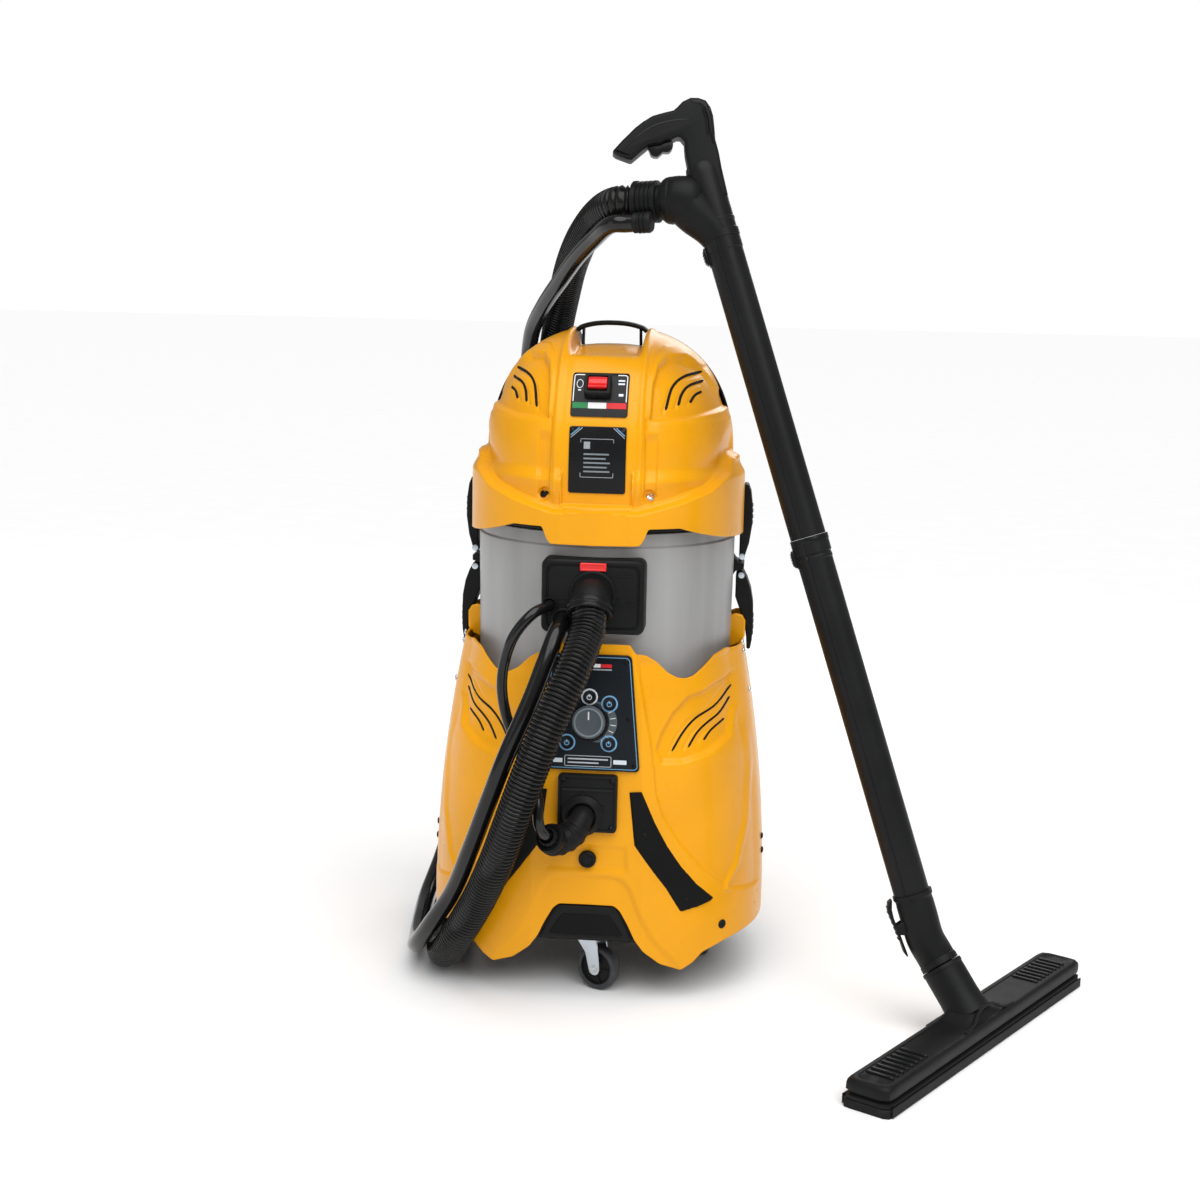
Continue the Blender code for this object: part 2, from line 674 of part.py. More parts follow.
SWITCH_Z = (0.7655, 0.8195)
DATA_Z = (0.669, 0.7535)
face_plate("switch_plate", 0.0372, 0.0372, *SWITCH_Z, channel_face, PLATE_THICKNESS, "black_gloss", 5,
           parent=head_pivot)
face_plate("data_plate", 0.0365, 0.0365, *DATA_Z, channel_face, PLATE_THICKNESS, "black_gloss", 5,
           parent=head_pivot)

SWITCH_CENTRE = (-0.003, 0.8015)


def switch_tilt(z):
    step = 0.002
    return math.atan2(channel_face(z - step) - channel_face(z + step), 2 * step)


switch_axes = Matrix.Rotation(-switch_tilt(SWITCH_CENTRE[1]), 3, "X")
switch_spot = Vector((SWITCH_CENTRE[0], -(channel_face(SWITCH_CENTRE[1]) + GAP + PLATE_THICKNESS),
                      SWITCH_CENTRE[1]))
switch_frame = pivot("switch_frame", switch_spot, head_pivot, switch_axes)
housing = add("switch_housing", *block((0.034, 0.010, 0.030), (0, -0.0065, 0)), "black_plastic", switch_frame)
cut(housing, block((0.0262, 0.012, 0.0182), (0, -0.0095, 0.001)), "well")
rocker_outline = [(-0.0080, -0.0025), (-0.0084, -0.0085), (-0.0020, -0.0050), (0.0074, -0.0062)]
rocker_outline += [(0.0080, -0.0015), (0.0, 0.0012)]
rocker_points = [(y, z) for z, y in rocker_outline]
add("switch_rocker", *prism(rocker_points, -0.0125, 0.0125, "yz"), "red_plastic", switch_frame,
    place=(0, -0.0075, 0.001))


def carry_handle():
    """A thin bowed strap between the two horns of the dome."""
    outline_top, outline_low = [], []
    span, foot, height, thick = 0.0370, 0.8575, 0.880, 0.0055
    for i in range(13):
        share = i / 12 * 2 - 1
        bow = (1 - abs(share) ** 2.6)
        outline_top.append((share * span, foot + (height - foot) * bow ** 0.7))
        outline_low.append((share * (span - thick), foot + (height - thick - foot) * bow ** 0.7))
    outline = outline_top + list(reversed(outline_low))
    return prism(outline, -0.012, 0.012, "xz")


add("carry_handle", *carry_handle(), "black_plastic", head_pivot, place=(0, 0.012, 0))


# ---------------------------------------------------------------- latches
def latch(name, outline, hinge, side):
    """An over-centre latch on one flank, its origin on its hinge."""
    points = [(side * (x - hinge[0]), z - hinge[1]) for x, z in outline]
    verts, faces = prism(points, -LATCH_WIDTH / 2, LATCH_WIDTH / 2, "xz")
    add(name, verts, faces, "black_plastic", place=(side * hinge[0], LATCH_Y, hinge[1]))


UPPER_LATCH = [(0.1808, 0.561), (0.1808, 0.612), (0.1814, 0.655), (0.186, 0.666), (0.192, 0.664)]
UPPER_LATCH += [(0.197, 0.645), (0.1975, 0.610), (0.193, 0.580), (0.187, 0.561)]
LOWER_LATCH = [(0.1772, 0.540), (0.179, 0.546), (0.187, 0.546), (0.196, 0.528), (0.2025, 0.500)]
LOWER_LATCH += [(0.203, 0.460), (0.200, 0.437), (0.1950, 0.437), (0.1940, 0.458), (0.188, 0.480)]
LOWER_LATCH += [(0.1772, 0.510)]
for side_name, side_sign in (("left", -1), ("right", 1)):
    latch(f"latch_upper_{side_name}", UPPER_LATCH, (0.1830, 0.566), side_sign)
    latch(f"latch_lower_{side_name}", LOWER_LATCH, (0.1830, 0.540), side_sign)

# ---------------------------------------------------------------- inside the base
add("boiler", *turned([(0, 0.0), (0.055, 0.0), (0.078, 0.02), (0.078, 0.23), (0.055, 0.25), (0, 0.25)], 32),
    "boiler_jacket", place=(0.095, 0.055, 0.0885))
water_tank = add("water_tank", *block((0.150, 0.210, 0.200)), "tank_plastic", place=(-0.085, 0.045, 0.1885))
bevel(water_tank, 0.012)
add("water_pump", *turned([(0, 0), (0.024, 0), (0.024, 0.075), (0, 0.075)], 20, (1, 0, 0)), "black_plastic",
    place=(-0.055, -0.115, 0.114))
CAP_Z = 0.395
filler_profile = [(0, 0), (0.028, 0), (0.028, 0.012), (0.025, 0.016), (0, 0.016)]
add("water_filler_cap", *turned(filler_profile, 24, (0, 1, 0)), "black_plastic",
    place=(-0.085, base_point(-0.35, False, CAP_Z)[1] + 0.0040, CAP_Z))
INLET_PLATE_Z = 0.150
mains_profile = [(0, 0), (0.021, 0), (0.021, 0.004), (0.013, 0.006), (0.010, 0.024), (0.0045, 0.024)]
mains_profile += [(0.0045, 0.008), (0, 0.008)]
add("mains_inlet", *turned(mains_profile, 20, (0, 1, 0)),
    "black_plastic", place=(0.080, base_point(0.30, False, INLET_PLATE_Z)[1] + 0.0030, INLET_PLATE_Z))


# ---------------------------------------------------------------- hoses
def hose(name, route, radius, finish, sides=2):
    """A hose as a round tube on one smooth curve through its route's points."""
    rough = arc_path(route, 200)
    length = sum((b - a).length for a, b in zip(rough, rough[1:]))
    spacing = max(radius * 2 * 1.25, length / 78)
    points = arc_path(route, int(length / min(spacing, CORD_POINT_SPACING)) + 1, HOSE_LEG)
    data = bpy.data.curves.new(name, "CURVE")
    data.dimensions = "3D"
    data.bevel_depth = radius
    data.bevel_resolution = sides
    data.use_fill_caps = True
    line = data.splines.new("POLY")
    line.points.add(len(points) - 1)
    for point, place in zip(line.points, points):
        point.co = (*place, 1.0)
    data.materials.append(material(finish))
    obj = bpy.data.objects.new(name, data)
    bpy.context.collection.objects.link(obj)
    obj.parent = assembly


COLLAR_OUT = Vector((-0.02, -0.62, -0.78)).normalized()
COLLAR_CENTRE = Vector((0.0, -INLET_FRONT - 0.016, INLET_Z))
collar_path = [Vector((0.0, -INLET_FRONT + 0.018, INLET_Z)), Vector((0.0, -INLET_FRONT - 0.006, INLET_Z))]
collar_path += [Vector((0.0, -INLET_FRONT - 0.0135, INLET_Z - 0.0025))]
collar_path += [COLLAR_CENTRE + COLLAR_OUT * 0.008, COLLAR_CENTRE + COLLAR_OUT * 0.028]
collar = swept(collar_path, [0.0195, 0.0195, 0.0245, 0.0285, 0.0275], 24)
collar_node = add("hose_inlet_elbow", *collar, "black_plastic")
SOCKET_DEPTH = 0.010
socket_start = COLLAR_CENTRE + COLLAR_OUT * (0.028 - SOCKET_DEPTH)
socket = turned([(0, 0), (0.0236, 0), (0.0236, 0.03), (0, 0.03)], 24, COLLAR_OUT)
cut(collar_node, ([tuple(Vector(v) + socket_start) for v in socket[0]], socket[1]), "socket")
HOSE_START = socket_start + COLLAR_OUT * GAP

BULGE = (-0.0337, 0.0615)
wand_up = (WAND_TOP - WAND_FOOT).normalized()
wand_back = (-WAND_FACING - wand_up * (-WAND_FACING).dot(wand_up)).normalized()
wand_right = wand_back.cross(wand_up)
WAND_AXES = Matrix((wand_right, wand_back, wand_up)).transposed()


def wand_point(right, up, back=0.0):
    return WAND_TOP + wand_right * right + wand_back * back + wand_up * up


CUFF_OUT = (wand_right * -0.90 + wand_up * 0.27 + wand_back * 0.33).normalized()
SWIVEL_CENTRE = wand_point(*BULGE)
CUFF_START = SWIVEL_CENTRE + CUFF_OUT * 0.0265
cuff_rings = [(0, 0.0), (0.0210, 0.0), (0.0210, 0.005), (0.0265, 0.0055), (0.0265, 0.010), (0.0255, 0.012)]
cuff_rings += [(0.0265, 0.016), (0.0255, 0.020), (0.0265, 0.024), (0.0255, 0.028), (0.0275, 0.032)]
cuff_rings += [(0.0275, 0.0375), (0.0238, 0.0375), (0.0238, 0.0275), (0, 0.0275)]
add("hose_cuff", *turned(cuff_rings, 24, CUFF_OUT), "black_plastic", place=CUFF_START)
HOSE_END = CUFF_START + CUFF_OUT * (0.0275 + GAP)

# The steam hose ends in a union that lies along the cuff, below it and towards the front.
cuff_side = Vector((0.0, -0.78, -0.62))
cuff_side = (cuff_side - CUFF_OUT * cuff_side.dot(CUFF_OUT)).normalized()
UNION_LENGTH = 0.024
union_start = CUFF_START + CUFF_OUT * 0.006 + cuff_side * 0.0415
UNION_FACE = union_start + CUFF_OUT * UNION_LENGTH
union = [(0, 0), (0.0120, 0), (0.0135, 0.003), (0.0135, 0.020), (0.0125, UNION_LENGTH), (0, UNION_LENGTH)]
add("steam_hose_union", *turned(union, 20, CUFF_OUT), "black_plastic", place=union_start)

VACUUM_ROUTE = [
    tuple(HOSE_START),
    tuple(HOSE_START + COLLAR_OUT * 0.030),
    (-0.014, -0.279, 0.462),
    (-0.036, -0.301, 0.410),
    (-0.060, -0.307, 0.345),
    (-0.083, -0.300, 0.280),
    (-0.108, -0.278, 0.210),
    (-0.136, -0.240, 0.145),
    (-0.170, -0.203, 0.082),
    (-0.196, -0.148, 0.038),
    (-0.212, -0.072, 0.0242),
    (-0.2225, 0.012, 0.0242),
    (-0.229, 0.098, 0.027),
    (-0.227, 0.170, 0.052),
    (-0.216, 0.228, 0.110),
    (-0.197, 0.260, 0.200),
    (-0.172, 0.274, 0.320),
    (-0.152, 0.272, 0.450),
    (-0.136, 0.262, 0.580),
    (-0.121, 0.246, 0.700),
    (-0.106, 0.222, 0.805),
    (-0.096, 0.193, 0.862),
    (-0.083, 0.151, 0.908),
    (-0.066, 0.092, 0.955),
    (-0.044, 0.027, 0.992),
    (-0.018, -0.030, 1.020),
    tuple(HOSE_END + CUFF_OUT * 0.036),
    tuple(HOSE_END),
]
STEAM_ROUTE = [
    (-0.038, -0.1954, 0.508),
    (-0.038, -0.2094, 0.508),
    (-0.044, -0.247, 0.489),
    (-0.068, -0.272, 0.418),
    (-0.096, -0.280, 0.350),
    (-0.121, -0.274, 0.282),
    (-0.147, -0.252, 0.212),
    (-0.176, -0.215, 0.142),
    (-0.212, -0.182, 0.083),
    (-0.237, -0.137, 0.042),
    (-0.250, -0.066, 0.0225),
    (-0.2605, 0.018, 0.0225),
    (-0.267, 0.104, 0.030),
    (-0.260, 0.190, 0.064),
    (-0.248, 0.250, 0.122),
    (-0.230, 0.282, 0.208),
    (-0.206, 0.297, 0.325),
    (-0.188, 0.294, 0.452),
    (-0.172, 0.284, 0.582),
    (-0.157, 0.268, 0.702),
    (-0.142, 0.222, 0.812),
    (-0.129, 0.170, 0.862),
    (-0.104, 0.104, 0.900),
    (-0.074, 0.038, 0.935),
    (-0.046, -0.020, 0.966),
    (-0.018, -0.070, 0.990),
    tuple(UNION_FACE + CUFF_OUT * 0.030),
    tuple(UNION_FACE + CUFF_OUT * GAP),
]
BRANCH_ROUTE = [
    (-0.055, -0.1954, 0.527),
    (-0.055, -0.2074, 0.527),
    (-0.072, -0.2310, 0.5210),
    (-0.094, -0.238, 0.494),
    (-0.107, -0.232, 0.458),
    (-0.110, -0.233, 0.425),
    (-0.104, -0.235, 0.390),
    (-0.088, -0.243, 0.352),
    (-0.070, -0.257, 0.320),
    (-0.0575, -0.274, 0.291),
    tuple(CONNECTOR_MOUTH + mouth_out * 0.030 + Vector((-0.002, 0.004, 0.009))),
    tuple(CONNECTOR_MOUTH + mouth_out * 0.012),
    tuple(CONNECTOR_MOUTH - mouth_out * 0.010),
]
hose("vacuum_hose", VACUUM_ROUTE, VACUUM_HOSE_RADIUS, "black_rubber")
hose("steam_hose", STEAM_ROUTE, STEAM_HOSE_RADIUS, "black_rubber")
hose("branch_hose", BRANCH_ROUTE, BRANCH_HOSE_RADIUS, "black_rubber")

# ---------------------------------------------------------------- wand
wand = pivot("wand_swing", SWIVEL_CENTRE, axes=WAND_AXES)
CUFF_LOCAL = WAND_AXES.transposed() @ CUFF_OUT


def local(right, up, back=0.0):
    """A point of the wand, given from the top of its upper tube, in the pivot's frame."""
    return Vector((right - BULGE[0], back, up - BULGE[1]))


def moved(shape, shift):
    return [tuple(Vector(v) + Vector(shift)) for v in shape[0]], shape[1]


GRIP_OUTLINE = [
    (0.0205, 0.050), (0.0255, 0.1036), (0.0255, 0.1213), (0.0315, 0.151), (0.0288, 0.1717), (0.0103, 0.181),
    (-0.001, 0.179), (-0.015, 0.1712), (-0.0425, 0.1726), (-0.0675, 0.164), (-0.104, 0.143), (-0.0837, 0.126),
    (-0.0565, 0.138), (-0.042, 0.1365), (-0.027, 0.1365), (-0.0158, 0.137), (-0.0126, 0.1295),
    (-0.0157, 0.1145), (-0.0177, 0.0938), (-0.0205, 0.050),
]
grip_local = [(u - BULGE[0], w - BULGE[1]) for u, w in GRIP_OUTLINE]
grip = prism(grip_local, -0.0165, 0.0165, "xz")
stem_profile = [(0, 0), (TUBE_RADIUS, 0), (TUBE_RADIUS, 0.090), (0.016, 0.100), (0, 0.100)]
stem = moved(turned(stem_profile, 24), local(0, 0))
bulge_profile = [(0, -0.028), (0.018, -0.026), (0.028, -0.012), (0.0305, 0.004), (0.029, 0.018)]
bulge_profile += [(0.0260, 0.0262), (0, 0.0262)]
bulge = turned(bulge_profile, 24, CUFF_LOCAL)
join_shapes("wand_handle", [grip, stem, bulge], "black_plastic", wand)

TRIGGER_PIVOT = (-0.0300, 0.1310)
TRIGGER = [(-0.0550, 0.1300), (-0.0300, 0.1320), (-0.0280, 0.1290), (-0.0340, 0.1230), (-0.0420, 0.1255)]
TRIGGER += [(-0.0500, 0.1215), (-0.0565, 0.1255)]
trigger_points = [(u - TRIGGER_PIVOT[0], w - TRIGGER_PIVOT[1]) for u, w in TRIGGER]
add("steam_trigger", *prism(trigger_points, -0.008, 0.008, "xz"), "grey_plastic", wand,
    place=local(*TRIGGER_PIVOT))


def wand_tube(name, top, bottom):
    length = top - bottom
    wall = [(TUBE_RADIUS, 0), (TUBE_RADIUS, length), (TUBE_RADIUS - TUBE_WALL, length)]
    wall += [(TUBE_RADIUS - TUBE_WALL, 0)]
    add(name, *turned(list(reversed(wall)), 24, hollow=True), "black_plastic", wand, place=local(0, bottom))


wand_tube("upper_tube", -GAP, MID_JOINT + GAP)
wand_tube("lower_tube", MID_JOINT, TUBE_END + GAP)
CLIP_STAND = 0.0018
for clip_name, clip_top in (("upper_tube_clip", -0.006), ("lower_tube_clip", -0.406)):
    clip = block((0.0045, 0.012, 0.0225))
    add(clip_name, *clip, "black_plastic", wand,
        place=local(-TUBE_RADIUS - CLIP_STAND - 0.00225, clip_top - 0.01125))

ELBOW_RADIUS = 0.0245
elbow_seam = wand_point(*ELBOW_END)
tool_centre = (TOOL_LEFT + TOOL_RIGHT) / 2
NECK_TARGET = tool_centre + Vector((0, 0, 0.030))
neck_out = (NECK_TARGET - elbow_seam).normalized()
elbow_path = [wand_point(0, TUBE_END), wand_point(0, TUBE_END - 0.030), wand_point(0, TUBE_END - 0.060)]
elbow_path += [elbow_seam - neck_out * 0.016, elbow_seam - neck_out * GAP]
elbow_local = [WAND_AXES.transposed() @ (p - SWIVEL_CENTRE) for p in elbow_path]
add("wand_elbow", *swept(elbow_local, [ELBOW_RADIUS] * 5, 24), "black_plastic", wand)

LEVER_PIVOT = (-0.0310, -0.9050)
LEVER = [(-0.0275, -0.866), (-0.0330, -0.868), (-0.0365, -0.878), (-0.0335, -0.905), (-0.0315, -0.935)]
LEVER += [(-0.0275, -0.941)]
lever_points = [(u - LEVER_PIVOT[0], w - LEVER_PIVOT[1]) for u, w in LEVER]
add("elbow_lever", *prism(lever_points, -0.008, 0.008, "xz"), "black_plastic", wand,
    place=local(*LEVER_PIVOT))

# ---------------------------------------------------------------- floor tool
tool_along = (TOOL_RIGHT - TOOL_LEFT).normalized()
tool_across = Vector((0, 0, 1)).cross(tool_along)
tool_half = (TOOL_RIGHT - TOOL_LEFT).length / 2
tool_axes = Matrix((tool_along, tool_across, Vector((0, 0, 1)))).transposed()
tool_pivot = pivot("tool_swivel", WAND_AXES.transposed() @ (elbow_seam - SWIVEL_CENTRE), wand,
                   WAND_AXES.transposed() @ tool_axes)
tool_shift = tool_axes.transposed() @ (tool_centre - elbow_seam)
half_depth = TOOL_DEPTH / 2
body_outline = [(-half_depth + 0.002, SOLE_HEIGHT + GAP), (half_depth - 0.002, SOLE_HEIGHT + GAP)]
body_outline += [(half_depth - 0.002, 0.026), (half_depth - 0.008, 0.033), (0.012, TOOL_TOP)]
body_outline += [(-half_depth + 0.012, TOOL_TOP), (-half_depth + 0.002, 0.030)]
body = moved(prism(body_outline, -tool_half, tool_half, "yz"), tool_shift)
neck_local = tool_axes.transposed() @ neck_out
neck = turned([(0, GAP), (ELBOW_RADIUS, GAP), (ELBOW_RADIUS, 0.076), (0, 0.076)], 24, neck_local)
join_shapes("floor_tool", [body, neck], "black_plastic", tool_pivot)
SLOT_HALF = 0.009
sole_outer = [(-tool_half, -half_depth), (tool_half, -half_depth), (tool_half, half_depth)]
sole_outer += [(-tool_half, half_depth)]
sole = add("tool_sole", *moved(prism(sole_outer, 0.0, SOLE_HEIGHT), tool_shift), "black_rubber", tool_pivot)
slot = moved(block((2 * tool_half - 0.050, 2 * SLOT_HALF, 0.030)), tool_shift)
cut(sole, slot, "suction_slot")

# ---------------------------------------------------------------- the shared frame
bpy.context.view_layer.update()
solids = [obj for obj in bpy.data.objects if obj.type == "MESH" and not obj.hide_render]
corners = [obj.matrix_world @ vert.co for obj in solids for vert in obj.data.vertices]
middle = [(min(c[k] for c in corners) + max(c[k] for c in corners)) / 2 for k in (0, 1)]
assembly.location = (-middle[0], -middle[1], 0.0)
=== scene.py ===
"""Looks of the steam and vacuum cleaner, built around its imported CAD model.

Metres, +Z up, the front faces -Y. Places are given from the machine's upright axis at floor
level, which is the middle of the recovery tank, and moved to the shared frame by AXIS.
"""

import math

import bmesh
import bpy
import numpy as np
from mathutils import Matrix, Vector


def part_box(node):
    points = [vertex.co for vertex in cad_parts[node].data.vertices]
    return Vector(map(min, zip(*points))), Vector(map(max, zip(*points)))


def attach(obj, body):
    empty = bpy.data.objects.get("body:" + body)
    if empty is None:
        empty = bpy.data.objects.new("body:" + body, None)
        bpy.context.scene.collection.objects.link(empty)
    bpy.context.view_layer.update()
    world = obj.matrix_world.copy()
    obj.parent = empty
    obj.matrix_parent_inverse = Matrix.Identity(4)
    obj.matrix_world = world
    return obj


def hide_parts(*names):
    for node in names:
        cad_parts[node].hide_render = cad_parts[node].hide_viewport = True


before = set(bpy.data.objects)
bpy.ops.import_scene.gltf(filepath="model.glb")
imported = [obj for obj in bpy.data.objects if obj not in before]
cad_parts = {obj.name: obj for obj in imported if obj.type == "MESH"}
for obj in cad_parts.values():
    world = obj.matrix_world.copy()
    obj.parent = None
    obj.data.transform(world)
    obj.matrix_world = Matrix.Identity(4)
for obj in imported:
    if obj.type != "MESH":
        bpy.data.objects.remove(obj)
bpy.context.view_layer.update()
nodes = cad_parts

tank_low, tank_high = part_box("recovery_tank")
AXIS = Vector(((tank_low.x + tank_high.x) / 2, (tank_low.y + tank_high.y) / 2, 0.0))

# ---------------------------------------------------------------- camera
scene = bpy.context.scene
VIEW_AZIMUTH = math.radians(5.0)
VIEW_ELEVATION = math.radians(10.0)
VIEW_ROLL = math.radians(1.2)
VIEW_PLACE = Vector((0.2236, -2.5557, 0.9534))
back = Vector((
    math.sin(VIEW_AZIMUTH) * math.cos(VIEW_ELEVATION),
    -math.cos(VIEW_AZIMUTH) * math.cos(VIEW_ELEVATION),
    math.sin(VIEW_ELEVATION),
))
right = Vector((math.cos(VIEW_AZIMUTH), math.sin(VIEW_AZIMUTH), 0.0))
upward = back.cross(right)
rolled_right = right * math.cos(VIEW_ROLL) + upward * math.sin(VIEW_ROLL)
rolled_up = upward * math.cos(VIEW_ROLL) - right * math.sin(VIEW_ROLL)
camera_data = bpy.data.cameras.new("camera")
camera_data.sensor_width = 36.0
camera_data.lens = 56.64
camera_data.shift_x = -0.005
camera_data.clip_start = 0.05
camera = bpy.data.objects.new("camera", camera_data)
scene.collection.objects.link(camera)
camera.matrix_world = Matrix.Translation(VIEW_PLACE + AXIS) @ Matrix(
    (rolled_right, rolled_up, back)).transposed().to_4x4()
scene.camera = camera


# ---------------------------------------------------------------- materials
SLOTS = {
    "black_satin": "black_plastic", "black_smooth": "black_plastic", "tube_black": "black_plastic",
    "pad_black": "black_plastic", "slot_dark": "black_plastic", "black_rubber": "black_rubber",
    "tyre_grey": "black_rubber", "hose_black": "black_rubber", "hose_smooth": "black_rubber",
    "yellow_gloss": "yellow_shell", "milky_plastic": "tank_plastic", "panel_film": "black_gloss",
    "red_gloss": "red_plastic", "dial_grey": "dial_grey", "dial_rim": "dial_grey",
    "zinc_plate": "zinc_steel", "screw_steel": "zinc_steel",
}


def shader_of(name):
    made = bpy.data.materials.new(name)
    made.use_nodes = True
    return made, made.node_tree, made.node_tree.nodes["Principled BSDF"]


def moulded(name, colour, roughness, grain=600.0, bump=0.08, spread=0.08, rough_spread=0.08,
            coat=0.0, metallic=0.0, dust=None, streak=0.0, shine=0.25):
    """A moulded or cast surface: faint colour clouds, uneven gloss and a fine grain."""
    made, tree, shader = shader_of(name)
    new, link = tree.nodes.new, tree.links.new
    place = new("ShaderNodeTexCoord")
    clouds = new("ShaderNodeTexNoise")
    clouds.inputs["Scale"].default_value = 9.0
    clouds.inputs["Detail"].default_value = 5.0
    link(place.outputs["Object"], clouds.inputs["Vector"])
    tones = new("ShaderNodeValToRGB")
    low = [max(0.0, c * (1 - spread)) for c in colour]
    high = [min(1.0, c * (1 + spread)) for c in colour]
    tones.color_ramp.elements[0].position = 0.3
    tones.color_ramp.elements[1].position = 0.7
    tones.color_ramp.elements[0].color = (*low, 1)
    tones.color_ramp.elements[1].color = (*high, 1)
    link(clouds.outputs["Fac"], tones.inputs["Fac"])
    colour_out = tones.outputs["Color"]
    if dust:
        motes = new("ShaderNodeTexNoise")
        motes.inputs["Scale"].default_value = 60.0
        motes.inputs["Detail"].default_value = 8.0
        link(place.outputs["Object"], motes.inputs["Vector"])
        edge = new("ShaderNodeMapRange")
        edge.inputs["From Min"].default_value = 0.55
        edge.inputs["From Max"].default_value = 0.8
        edge.inputs["To Max"].default_value = 0.35
        link(motes.outputs["Fac"], edge.inputs["Value"])
        mix = new("ShaderNodeMix")
        mix.data_type = "RGBA"
        mix.inputs["B"].default_value = (*dust, 1)
        link(edge.outputs["Result"], mix.inputs["Factor"])
        link(colour_out, mix.inputs["A"])
        colour_out = mix.outputs["Result"]
    link(colour_out, shader.inputs["Base Color"])
    gloss = new("ShaderNodeTexNoise")
    gloss.inputs["Scale"].default_value = 35.0
    gloss.inputs["Detail"].default_value = 6.0
    if streak:
        stretch = new("ShaderNodeMapping")
        stretch.inputs["Scale"].default_value = (1.0, 1.0, streak)
        link(place.outputs["Object"], stretch.inputs["Vector"])
        link(stretch.outputs["Vector"], gloss.inputs["Vector"])
    else:
        link(place.outputs["Object"], gloss.inputs["Vector"])
    level = new("ShaderNodeMapRange")
    level.inputs["To Min"].default_value = max(0.02, roughness - rough_spread)
    level.inputs["To Max"].default_value = min(1.0, roughness + rough_spread)
    link(gloss.outputs["Fac"], level.inputs["Value"])
    link(level.outputs["Result"], shader.inputs["Roughness"])
    fine = new("ShaderNodeTexNoise")
    fine.inputs["Scale"].default_value = grain
    fine.inputs["Detail"].default_value = 3.0
    link(place.outputs["Object"], fine.inputs["Vector"])
    relief = new("ShaderNodeBump")
    relief.inputs["Strength"].default_value = bump
    relief.inputs["Distance"].default_value = 0.0006
    link(fine.outputs["Fac"], relief.inputs["Height"])
    link(relief.outputs["Normal"], shader.inputs["Normal"])
    shader.inputs["Metallic"].default_value = metallic
    shader.inputs["Specular IOR Level"].default_value = shine
    shader.inputs["Coat Weight"].default_value = coat
    shader.inputs["Coat Roughness"].default_value = 0.12
    return made


YELLOW = moulded("yellow_gloss", (0.82, 0.352, 0.0042), 0.30, grain=260, bump=0.05, spread=0.05, coat=0.06,
                 shine=0.2)
BLACK = moulded("black_satin", (0.0085, 0.0088, 0.0090), 0.45, grain=900, bump=0.25, spread=0.25,
                shine=0.13)
BLACK_SMOOTH = moulded("black_smooth", (0.0070, 0.0073, 0.0080), 0.27, grain=400, bump=0.06, spread=0.2,
                       coat=0.03, shine=0.18)
TUBE_BLACK = moulded("tube_black", (0.0100, 0.0103, 0.0108), 0.38, grain=500, bump=0.12, spread=0.2,
                     shine=0.15)
RUBBER = moulded("black_rubber", (0.0100, 0.0100, 0.0103), 0.6, grain=700, bump=0.3, spread=0.25,
                 dust=(0.04, 0.037, 0.034), shine=0.15)
TREAD = moulded("tyre_grey", (0.045, 0.047, 0.052), 0.5, grain=500, bump=0.2, spread=0.2,
                dust=(0.12, 0.11, 0.10))
HOSE_BLACK = moulded("hose_black", (0.0070, 0.0068, 0.0065), 0.22, grain=300, bump=0.08, spread=0.3,
                     coat=0.08, shine=0.2)
HOSE_SMOOTH = moulded("hose_smooth", (0.0060, 0.0060, 0.0062), 0.17, grain=200, bump=0.04, spread=0.3,
                      coat=0.25)
PAD = moulded("pad_black", (0.0072, 0.0075, 0.0075), 0.62, grain=1500, bump=0.5, spread=0.15, shine=0.08)
PANEL = moulded("panel_film", (0.0062, 0.0090, 0.0120), 0.30, grain=500, bump=0.08, spread=0.25, coat=0.03,
                shine=0.14)
PANEL_BLUE = moulded("panel_blue_line", (0.13, 0.30, 0.48), 0.35, spread=0.1)
RING_BLUE = moulded("ring_blue", (0.16, 0.36, 0.58), 0.3, spread=0.15)
RING_PALE = moulded("ring_pale", (0.62, 0.68, 0.74), 0.3, spread=0.1)
WHITE = moulded("print_white", (0.80, 0.80, 0.80), 0.4, spread=0.06)
PRINT_RED = moulded("print_red", (0.62, 0.018, 0.025), 0.35, spread=0.1)
PRINT_GREEN = moulded("print_green", (0.012, 0.20, 0.055), 0.35, spread=0.1)
SILVER = moulded("print_silver", (0.45, 0.48, 0.52), 0.3, metallic=0.6, spread=0.15)
RED = moulded("red_gloss", (0.72, 0.014, 0.014), 0.22, grain=300, bump=0.04, spread=0.12, coat=0.4)
DIAL = moulded("dial_grey", (0.075, 0.090, 0.103), 0.40, grain=900, bump=0.3, spread=0.15)
DIAL_RIM = moulded("dial_rim", (0.20, 0.23, 0.25), 0.3, spread=0.12)
ZINC = moulded("zinc_plate", (0.58, 0.64, 0.70), 0.32, grain=180, bump=0.15, spread=0.2, metallic=0.9,
               streak=3.0)
STEEL = moulded("screw_steel", (0.62, 0.62, 0.61), 0.28, grain=250, bump=0.1, spread=0.2, metallic=1.0)
# Painted shade: a near-black finish for the ribbons that stand in for the shade inside the vent slot
# openings.
SLOT_SHADE_PAINT = moulded("slot_dark", (0.004, 0.004, 0.004), 0.8, spread=0.3)
CLOTH = moulded("filter_cloth", (0.74, 0.72, 0.66), 0.9, grain=900, bump=0.8, spread=0.12)
JACKET = moulded("boiler_jacket", (0.50, 0.51, 0.53), 0.55, grain=90, bump=0.6, spread=0.15)
ALLOY = moulded("motor_alloy", (0.48, 0.49, 0.50), 0.4, grain=200, bump=0.4, spread=0.15, metallic=0.9)


